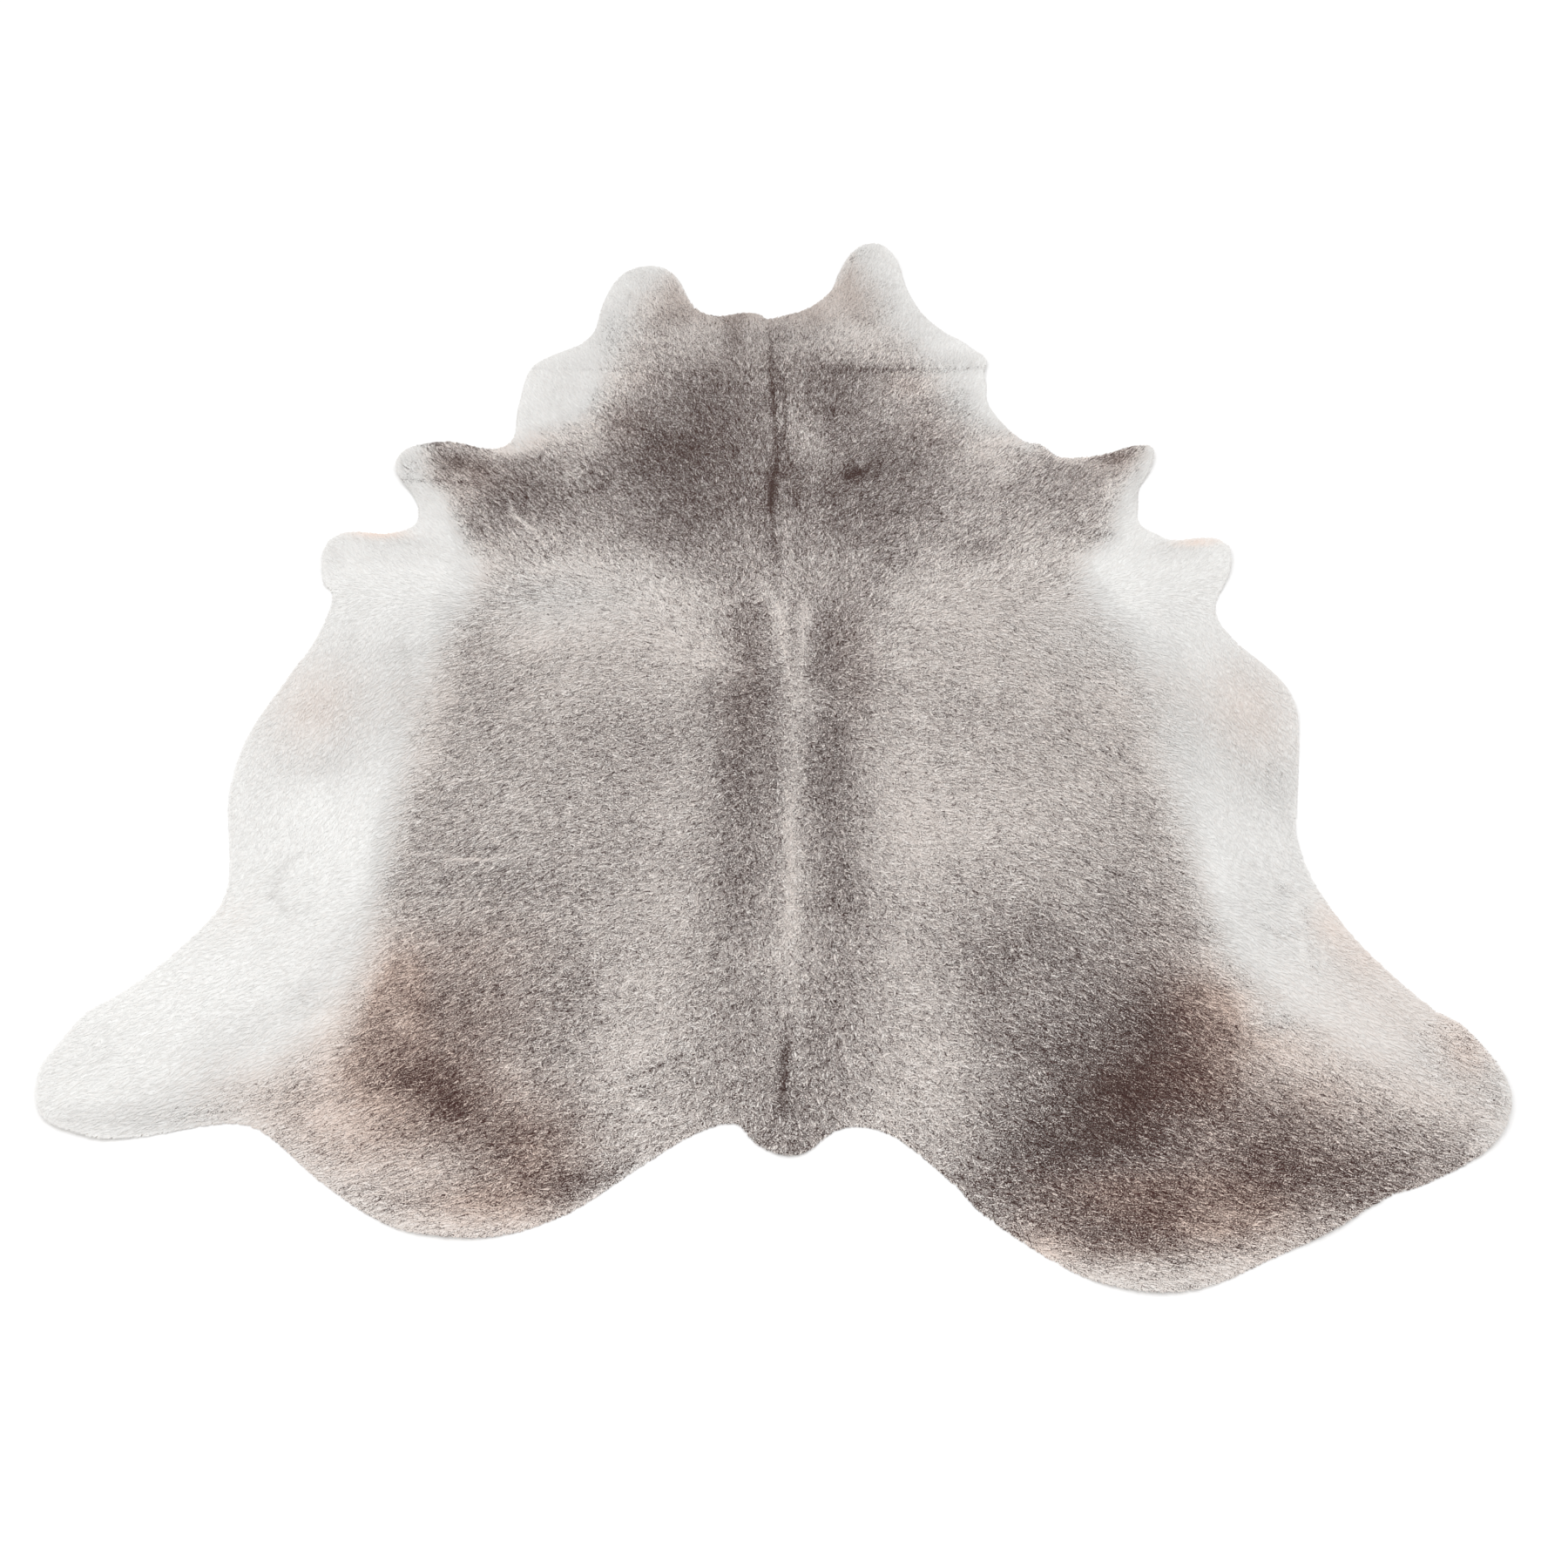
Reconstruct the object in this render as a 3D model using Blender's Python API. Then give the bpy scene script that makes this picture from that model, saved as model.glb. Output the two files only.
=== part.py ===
"""A cowhide rug lying flat with its hair up: one whole hide, cut along the animal's own outline.

Lengths are in millimetres here, and MM turns them into metres where the mesh is made. +X is to the right of
the hide seen from the tail, +Y runs from the tail to the neck, and +Z is up. The origin is on the floor, under
the middle of the hide's box.
"""

import math

import bmesh
import bpy
import numpy as np
from mathutils.geometry import delaunay_2d_cdt

MM = 0.001

# Thickness of leather and coat together. A hide is thickest along the back and thin at the belly.
BACK_THICK = 6.0
BELLY_THICK = 4.5
RIM_THICK = 3.0
BACK_WIDTH = 480.0
RIM_WIDTH = 16.0

# How far apart the mesh's points lie.
RIM_STEP = 16.0
TOP_STEP = 44.0
UNDER_STEP = 62.0
FOLD_STEP = 26.0

# The edge of the hide, going round clockwise as seen from above. Each row is a place on the edge:
# (across from the spine, along from the tail's tip).
NECK_LEFT = (
    (-510, 1558), (-508, 1645), (-497, 1752), (-483, 1783), (-445, 1820), (-402, 1852), (-380, 1885),
    (-371, 1925), (-368, 1965), (-345, 2055), (-318, 2093), (-270, 2107), (-240, 2095), (-217, 2064),
    (-182, 1975), (-160, 1952), (-130, 1943), (-80, 1953), (-50, 1948), (-35, 1932),
)
NECK_RIGHT = (
    (0, 1945), (50, 1970), (98, 2035), (110, 2080), (140, 2153), (165, 2178), (185, 2184), (208, 2174),
    (232, 2130), (250, 2035), (280, 1948), (320, 1890), (350, 1862), (378, 1822), (390, 1810),
    (396, 1788), (389, 1760), (391, 1720), (389, 1675), (400, 1635), (435, 1570),
)
FRONT_SHANK_RIGHT = (
    (460, 1545), (478, 1544), (492, 1530), (510, 1505), (590, 1508), (655, 1529), (684, 1526),
    (690, 1518), (675, 1458), (652, 1415), (645, 1370), (640, 1330), (648, 1307), (672, 1288),
    (693, 1272), (750, 1275), (778, 1268), (793, 1250), (787, 1190), (750, 1105), (750, 1065),
)
BELLY_RIGHT = (
    (780, 1003), (812, 959), (840, 905), (849, 848), (815, 635), (805, 590), (812, 505), (832, 440),
    (870, 360),
)
HIND_SHANK_RIGHT = (
    (955, 243), (984, 222), (1025, 138), (1030, 98), (1020, 60), (985, 12), (865, -53), (840, -60),
    (800, -82), (740, -120), (660, -157), (560, -203), (500, -212), (440, -203), (385, -180),
    (270, -92), (235, -48),
)
RUMP = (
    (150, 32), (105, 46), (70, 38), (28, 2), (3, -2), (-25, 8), (-45, 24), (-64, 49), (-90, 49),
    (-135, 28), (-200, -20),
)
HIND_SHANK_LEFT = (
    (-300, -95), (-400, -129), (-510, -120), (-565, -94), (-640, -40), (-720, 30), (-750, 47),
    (-775, 51), (-820, 46), (-885, 31), (-955, 24), (-985, 32), (-1025, 46), (-1050, 68),
    (-1063, 138), (-1045, 185), (-1020, 240), (-990, 265), (-945, 310),
)
BELLY_LEFT = (
    (-885, 392), (-861, 440), (-857, 490), (-884, 645), (-886, 710), (-876, 805), (-828, 944),
    (-805, 1005),
)
FRONT_SHANK_LEFT = (
    (-789, 1133), (-806, 1155), (-820, 1240), (-815, 1262), (-795, 1286), (-762, 1292), (-720, 1288),
    (-668, 1312), (-662, 1338), (-668, 1370), (-685, 1405), (-708, 1440), (-720, 1472), (-716, 1498),
    (-700, 1524), (-628, 1548), (-590, 1538), (-550, 1527), (-525, 1536),
)
EDGE = (
    NECK_LEFT + NECK_RIGHT + FRONT_SHANK_RIGHT + BELLY_RIGHT + HIND_SHANK_RIGHT
    + RUMP + HIND_SHANK_LEFT + BELLY_LEFT + FRONT_SHANK_LEFT
)

# Where the edge stands off the floor. Each row: (across, along, how far it reaches, how high it stands).
LIFTS = (
    (-275, 2140, 200, 10),
    (190, 2215, 220, 13),
    (-60, 1985, 110, 4),
    (-520, 1790, 140, 6),
    (415, 1800, 150, 7),
    (-745, 1500, 180, 12),
    (-850, 1250, 200, 8),
    (720, 1545, 180, 14),
    (830, 1240, 190, 10),
    (880, 860, 170, 7),
    (830, 580, 120, 4),
    (-915, 700, 180, 6),
    (-850, 980, 120, 4),
    (-1095, 130, 220, 11),
    (-960, 0, 120, 5),
    (1060, 90, 220, 10),
    (760, -140, 140, 5),
    (480, -245, 160, 6),
    (-460, -160, 160, 5),
    (3, -25, 90, 5),
)

# Soft folds in the skin that stand up as ridges. Each row: (from across, from along, to across, to along,
# half of the fold's width, its height).
FOLDS = (
    (-560, 1774, -30, 1764, 24, 2.6),
    (-30, 1764, 450, 1772, 24, 2.6),
    (-760, 1430, -540, 1424, 18, 2.2),
    (-780, 560, -705, 500, 20, 2.0),
    (-780, 430, -705, 470, 20, 2.0),
    (790, 470, 800, 290, 18, 2.4),
    (700, 420, 780, 400, 20, 1.8),
)


def ease(t):
    """0 up to t = 0, 1 from t = 1, and a soft step between them."""
    t = np.clip(t, 0.0, 1.0)
    return t * t * (3.0 - 2.0 * t)


def smooth_loop(corners, step):
    """A closed centripetal Catmull-Rom curve through the corners, as points about one step apart."""
    points = []
    count = len(corners)
    for i in range(count):
        before, start, end, after = (np.array(corners[(i + k) % count], float) for k in (-1, 0, 1, 2))
        gaps = [math.sqrt(math.dist(a, b)) for a, b in ((before, start), (start, end), (end, after))]
        leave, arrive = slopes(before, start, end, after, gaps)
        pieces = max(1, round(math.dist(start, end) / step))
        for t in np.arange(pieces) / pieces:
            points.append(
                start * (2 * t**3 - 3 * t**2 + 1) + leave * (t**3 - 2 * t**2 + t)
                + end * (3 * t**2 - 2 * t**3) + arrive * (t**3 - t**2)
            )
    return np.array(points)


def slopes(before, start, end, after, gaps):
    """The curve's slopes at start and end, from the corners round them and the roots of their distances."""
    first, middle, last = gaps
    leave = (start - before) / first - (end - before) / (first + middle) + (end - start) / middle
    arrive = (end - start) / middle - (after - start) / (middle + last) + (after - end) / last
    return middle * leave, middle * arrive


def distance_to_runs(points, starts, ends):
    """How far each point lies from the nearest of the straight runs from starts to ends."""
    runs = ends - starts
    offsets = points[:, None, :] - starts[None, :, :]
    along = (offsets * runs).sum(axis=2) / (runs * runs).sum(axis=1)
    nearest = offsets - np.clip(along, 0.0, 1.0)[:, :, None] * runs
    return np.sqrt((nearest * nearest).sum(axis=2)).min(axis=1)


def edge_distance(points, loop):
    return distance_to_runs(points, loop, np.roll(loop, -1, axis=0))


def is_inside(points, loop):
    """Whether each point has an odd number of the loop's runs on its right."""
    starts, ends = loop, np.roll(loop, -1, axis=0)
    across, along = points[:, 0, None], points[:, 1, None]
    spans = (starts[:, 1] > along) != (ends[:, 1] > along)
    rise = np.where(ends[:, 1] == starts[:, 1], 1.0, ends[:, 1] - starts[:, 1])
    crossing = starts[:, 0] + (along - starts[:, 1]) / rise * (ends[:, 0] - starts[:, 0])
    return (spans & (crossing > across)).sum(axis=1) % 2 == 1


def lift(points):
    """How high the underside stands above the floor: nothing, but near the spots in LIFTS."""
    height = np.zeros(len(points))
    for across, along, reach, most in LIFTS:
        gap = np.hypot(points[:, 0] - across, points[:, 1] - along)
        height += most * ease(1.0 - gap / reach) ** 1.5
    return height


def thickness(points, loop):
    """Leather and coat: thick at the back, thin at the belly and thinner still at the cut rim."""
    body = BACK_THICK + (BELLY_THICK - BACK_THICK) * ease(np.abs(points[:, 0]) / BACK_WIDTH)
    thick = RIM_THICK + (body - RIM_THICK) * ease(edge_distance(points, loop) / RIM_WIDTH)
    for row in FOLDS:
        start, end = np.array([row[0:2]], float), np.array([row[2:4]], float)
        half_width, height = row[4:6]
        thick += height * ease(1.0 - distance_to_runs(points, start, end) / half_width)
    return thick


def rows_of_points(loop, step):
    """Points a step apart over the loop's box, in rows that are set off by half a step."""
    low, high = loop.min(axis=0), loop.max(axis=0)
    row_gap = step * math.sqrt(3.0) / 2.0
    found = []
    for row, along in enumerate(np.arange(low[1], high[1], row_gap)):
        start = low[0] + (row % 2) * step / 2.0
        found += [(across, along) for across in np.arange(start, high[0], step)]
    return np.array(found)


def fold_points():
    """Points along each fold: on its crest and at both of its feet."""
    found = []
    for from_across, from_along, to_across, to_along, half_width, _ in FOLDS:
        start, end = np.array([from_across, from_along]), np.array([to_across, to_along])
        pieces = round(math.dist(start, end) / FOLD_STEP)
        side = np.array([start[1] - end[1], end[0] - start[0]]) / math.dist(start, end) * half_width
        for t in np.arange(pieces + 1) / pieces:
            found += [start + (end - start) * t + side * k for k in (-1, 0, 1)]
    return np.array(found)


def thinned(points, kept, gap):
    """The points that lie at least a gap from every kept one, and from each other, in their order."""
    kept = [tuple(p) for p in kept]
    added = []
    for point in points:
        near = np.array(kept) - point
        if (near * near).sum(axis=1).min() >= gap * gap:
            kept.append(tuple(point))
            added.append(point)
    return added


def inner_points(loop, step, with_folds):
    """The points between the hide's edge: a ring where the rim's slope ends, the folds and then the rows."""
    ahead, behind = np.roll(loop, -1, axis=0), np.roll(loop, 1, axis=0)
    run = ahead - behind
    inward = np.stack([run[:, 1], -run[:, 0]], axis=1) / np.hypot(run[:, 0], run[:, 1])[:, None]
    ring = loop + inward * RIM_WIDTH
    ring = ring[is_inside(ring, loop)]
    ring = ring[edge_distance(ring, loop) > 0.85 * RIM_WIDTH]
    kept = thinned(ring, loop[:1], 0.7 * RIM_STEP)
    if with_folds:
        folds = fold_points()
        folds = folds[is_inside(folds, loop)]
        folds = folds[edge_distance(folds, loop) > 1.3 * RIM_WIDTH]
        kept += thinned(folds, kept, 0.6 * FOLD_STEP)
    rows = rows_of_points(loop, step)
    rows = rows[is_inside(rows, loop)]
    rows = rows[edge_distance(rows, loop) > RIM_WIDTH + 0.4 * step]
    return np.array(kept + thinned(rows, kept, 0.55 * step))


def triangles(loop, inner):
    """The points of a flat face inside the loop, the loop's own first, and its triangles."""
    count = len(loop)
    corners = [tuple(p) for p in loop] + [tuple(p) for p in inner]
    rim = [(i, (i + 1) % count) for i in range(count)]
    _, _, faces, origins, _, _ = delaunay_2d_cdt(corners, rim, [], 1, 1e-4)
    number = [came_from[0] for came_from in origins]
    return np.array(corners), [[number[v] for v in face] for face in faces]


def make_hide():
    loop = smooth_loop(EDGE, RIM_STEP)
    middle = (loop.min(axis=0) + loop.max(axis=0)) / 2.0
    top, top_faces = triangles(loop, inner_points(loop, TOP_STEP, with_folds=True))
    under, under_faces = triangles(loop, inner_points(loop, UNDER_STEP, with_folds=False))
    top_height = lift(top) + thickness(top, loop)
    under_height = lift(under)

    mesh = bmesh.new()
    top_verts = [mesh.verts.new((*(p - middle) * MM, z * MM)) for p, z in zip(top, top_height)]
    under_verts = [mesh.verts.new((*(p - middle) * MM, z * MM)) for p, z in zip(under, under_height)]
    for face in top_faces:
        mesh.faces.new([top_verts[v] for v in face])
    for face in under_faces:
        mesh.faces.new([under_verts[v] for v in reversed(face)])
    count = len(loop)
    for i in range(count):
        ahead = (i + 1) % count
        mesh.faces.new([top_verts[i], top_verts[ahead], under_verts[ahead], under_verts[i]])
    bmesh.ops.recalc_face_normals(mesh, faces=mesh.faces)

    data = bpy.data.meshes.new("hide")
    mesh.to_mesh(data)
    mesh.free()
    data.shade_smooth()
    data.set_sharp_from_angle(angle=math.radians(50))
    hide = bpy.data.objects.new("hide", data)
    bpy.context.scene.collection.objects.link(hide)
    return hide


def coat_material():
    """Short grey-brown cow hair: dull, with no metal in it."""
    coat = bpy.data.materials.new("cow hair")
    coat.use_nodes = True
    shader = coat.node_tree.nodes["Principled BSDF"]
    shader.inputs["Base Color"].default_value = (0.33, 0.29, 0.27, 1.0)
    shader.inputs["Roughness"].default_value = 0.75
    shader.inputs["Metallic"].default_value = 0.0
    return coat


def main():
    for old in list(bpy.data.objects):
        bpy.data.objects.remove(old)
    hide = make_hide()
    hide.data.materials.append(coat_material())


main()
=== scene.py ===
"""Cowhide rug: a flat hide with its short coat, laid on a pale floor under soft studio light.

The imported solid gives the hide's outline, lifts and box. This script lays a thin leather on its underside,
grows the coat on that leather as short closed locks of hair, and sets the floor, the light and the camera.
Places on the hide are in millimetres: across from the spine, + to the right, and along from the tail's tip.
"""
import math

import bmesh
import bpy
import numpy as np
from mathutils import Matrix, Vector
from mathutils.bvhtree import BVHTree
from mathutils.geometry import delaunay_2d_cdt
from mathutils.kdtree import KDTree


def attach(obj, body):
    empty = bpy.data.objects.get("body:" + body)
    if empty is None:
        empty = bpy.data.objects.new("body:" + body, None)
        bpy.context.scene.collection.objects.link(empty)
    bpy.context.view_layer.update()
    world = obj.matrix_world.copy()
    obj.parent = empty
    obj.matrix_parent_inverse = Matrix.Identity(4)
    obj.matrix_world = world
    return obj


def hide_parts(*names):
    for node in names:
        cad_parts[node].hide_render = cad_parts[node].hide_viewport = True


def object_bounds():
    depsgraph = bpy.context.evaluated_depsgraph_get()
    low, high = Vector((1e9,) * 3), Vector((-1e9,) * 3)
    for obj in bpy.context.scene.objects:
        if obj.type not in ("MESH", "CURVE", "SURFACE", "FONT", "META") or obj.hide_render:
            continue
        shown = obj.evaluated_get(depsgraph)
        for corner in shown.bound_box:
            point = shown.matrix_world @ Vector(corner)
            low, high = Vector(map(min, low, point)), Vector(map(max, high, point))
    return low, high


bl_info = {
    "name": "Cowhide rug",
    "version": (1, 0, 0),
    "blender": (4, 5, 0),
    "location": "3D View > Sidebar > Cowhide",
    "description": "Makes a cowhide rug from its packed solid: the leather, the coat and a plain stage",
    "category": "Object",
}

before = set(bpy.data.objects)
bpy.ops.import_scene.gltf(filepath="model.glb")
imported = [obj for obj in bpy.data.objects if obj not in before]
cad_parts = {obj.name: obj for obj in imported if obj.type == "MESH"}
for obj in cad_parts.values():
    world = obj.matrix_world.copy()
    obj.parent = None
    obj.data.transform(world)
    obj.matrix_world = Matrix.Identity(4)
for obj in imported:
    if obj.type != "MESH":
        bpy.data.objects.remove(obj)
CAD_BOX = [list(corner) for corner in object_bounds()]

MM = 0.001
# The spine and the tail's tip, from which places on the hide are measured, in the scene's own metres.
SPINE_X = 0.0165
TAIL_Y = -0.986
# Where the middle of the camera's view meets the floor.
AIM_Y = -0.296

# The bands that the coat is combed in, so that no piece is too heavy. Columns: name, from, to (along, mm).
COAT_BANDS = (
    ("coat_rump", -300, 190),
    ("coat_loin", 190, 540),
    ("coat_back", 540, 880),
    ("coat_withers", 880, 1230),
    ("coat_shoulder", 1230, 1590),
    ("coat_neck", 1590, 2400),
)

# Where the spine runs. Columns: along, across (mm).
SPINE = (
    (0, 2), (200, 3), (600, 12), (900, 8), (1100, 5), (1300, -10), (1450, -12), (1560, -3), (1690, -22),
    (1860, -22),
)

# Tones are grey levels as seen in even light, 0 black to 255 white.
WHITE_LEVEL = 236.0
SADDLE_LEVEL = 172.0
DARK_LEVEL = 47.0
# The darkest and the palest tone that the coat reaches anywhere.
DARKEST_TONE = 70.0
PALEST_TONE = 241.0
# How brown the saddle is where no warm patch lies, 0 to 1.
SADDLE_WARMTH = 0.37
# How much light white, greige and tan hair give back.
WHITE_HAIR = 0.9
GREIGE_HAIR = 0.34
TAN_HAIR = 0.64
# How widely the noise in the streaks of hair spreads about its middle.
STREAK_SPREAD = 0.073
# How fast a soft patch or line falls off: at its half width it has a fifth of its strength left.
PATCH_FALL = 1.6

# The stretch of the spine where the hair turns round, from lying back to lying forwards (along, mm).
TURN_START = 860.0
TURN_END = 1060.0

# Places on a lock, as shares of its length: where it is widest, and where its tone is read.
LOCK_WIDEST = 0.42
TONE_PLACE = 0.7
# How widely single locks differ from the mean in length, width and depth.
LENGTH_SPREAD = (0.72, 1.28)
WIDTH_SPREAD = (0.75, 1.25)
DEPTH_SPREAD = (0.75, 1.0)
SHORTEST_LOCK = 4.0 * MM
ROOT_DEPTH = 0.3 * MM
# The coat's own locks root this far inside the cut edge, and the fringe covers the strip between.
EDGE_STRIP = 2.6 * MM
# The fringe: locks for each sample of the edge, then how far inside the edge they root, how far they slip
# along it, reach past it, bend down over it and stand up in their middle (mm).
FRINGE_LOCKS = 2.6
FRINGE_INSET = (2.9, 6.0)
FRINGE_SLIP = (-1.3, 1.3)
FRINGE_REACH = (0.2, 2.2)
FRINGE_BEND = (-1.9, -0.4)
FRINGE_RISE = (0.3, 0.7)
COAT_SEED = 11

# How long a streak of hair is (mm), and the colour of the suede's darker mottling.
STREAK_LENGTH = 1.9
SUEDE_SHADE = "#b9ac9a"

# The sockets of Blender's colour mix node: its share, its two colours and the colour that it gives.
MIX_SHARE, MIX_FIRST, MIX_SECOND, MIX_COLOUR = 0, 6, 7, 2

# The border of the grey saddle, clockwise from the left neck flap. Columns: across, along, fade (mm).
SADDLE = (
    (-225, 2090, 45), (-175, 1990, 20), (-100, 1995, 20), (20, 2005, 20), (100, 2060, 30),
    (140, 2140, 35), (180, 2030, 55), (205, 1930, 60), (250, 1850, 60), (290, 1740, 60),
    (320, 1640, 60), (380, 1580, 50), (500, 1570, 25), (570, 1555, 20), (700, 1580, 20),
    (660, 1490, 25), (610, 1400, 25), (580, 1290, 35), (530, 1220, 40), (525, 1150, 50),
    (580, 1050, 70), (610, 900, 70), (610, 700, 55), (635, 500, 45), (650, 350, 40),
    (690, 250, 45), (830, 150, 60), (1010, 70, 60), (960, -60, 30), (700, -190, 40),
    (500, -235, 50), (300, -190, 30), (150, 0, 20), (60, 0, 20), (0, -40, 20),
    (-70, 10, 20), (-200, -20, 25), (-300, -120, 35), (-450, -170, 40), (-600, -100, 60),
    (-720, 10, 70), (-700, 160, 60), (-630, 300, 40), (-612, 500, 35), (-605, 800, 45),
    (-580, 1000, 50), (-550, 1120, 45), (-545, 1220, 35), (-580, 1300, 25), (-620, 1400, 25),
    (-660, 1440, 25), (-670, 1510, 30), (-650, 1600, 20), (-540, 1560, 20), (-420, 1590, 45),
    (-370, 1650, 45), (-340, 1760, 50), (-310, 1880, 50), (-290, 2000, 50),
)

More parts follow.
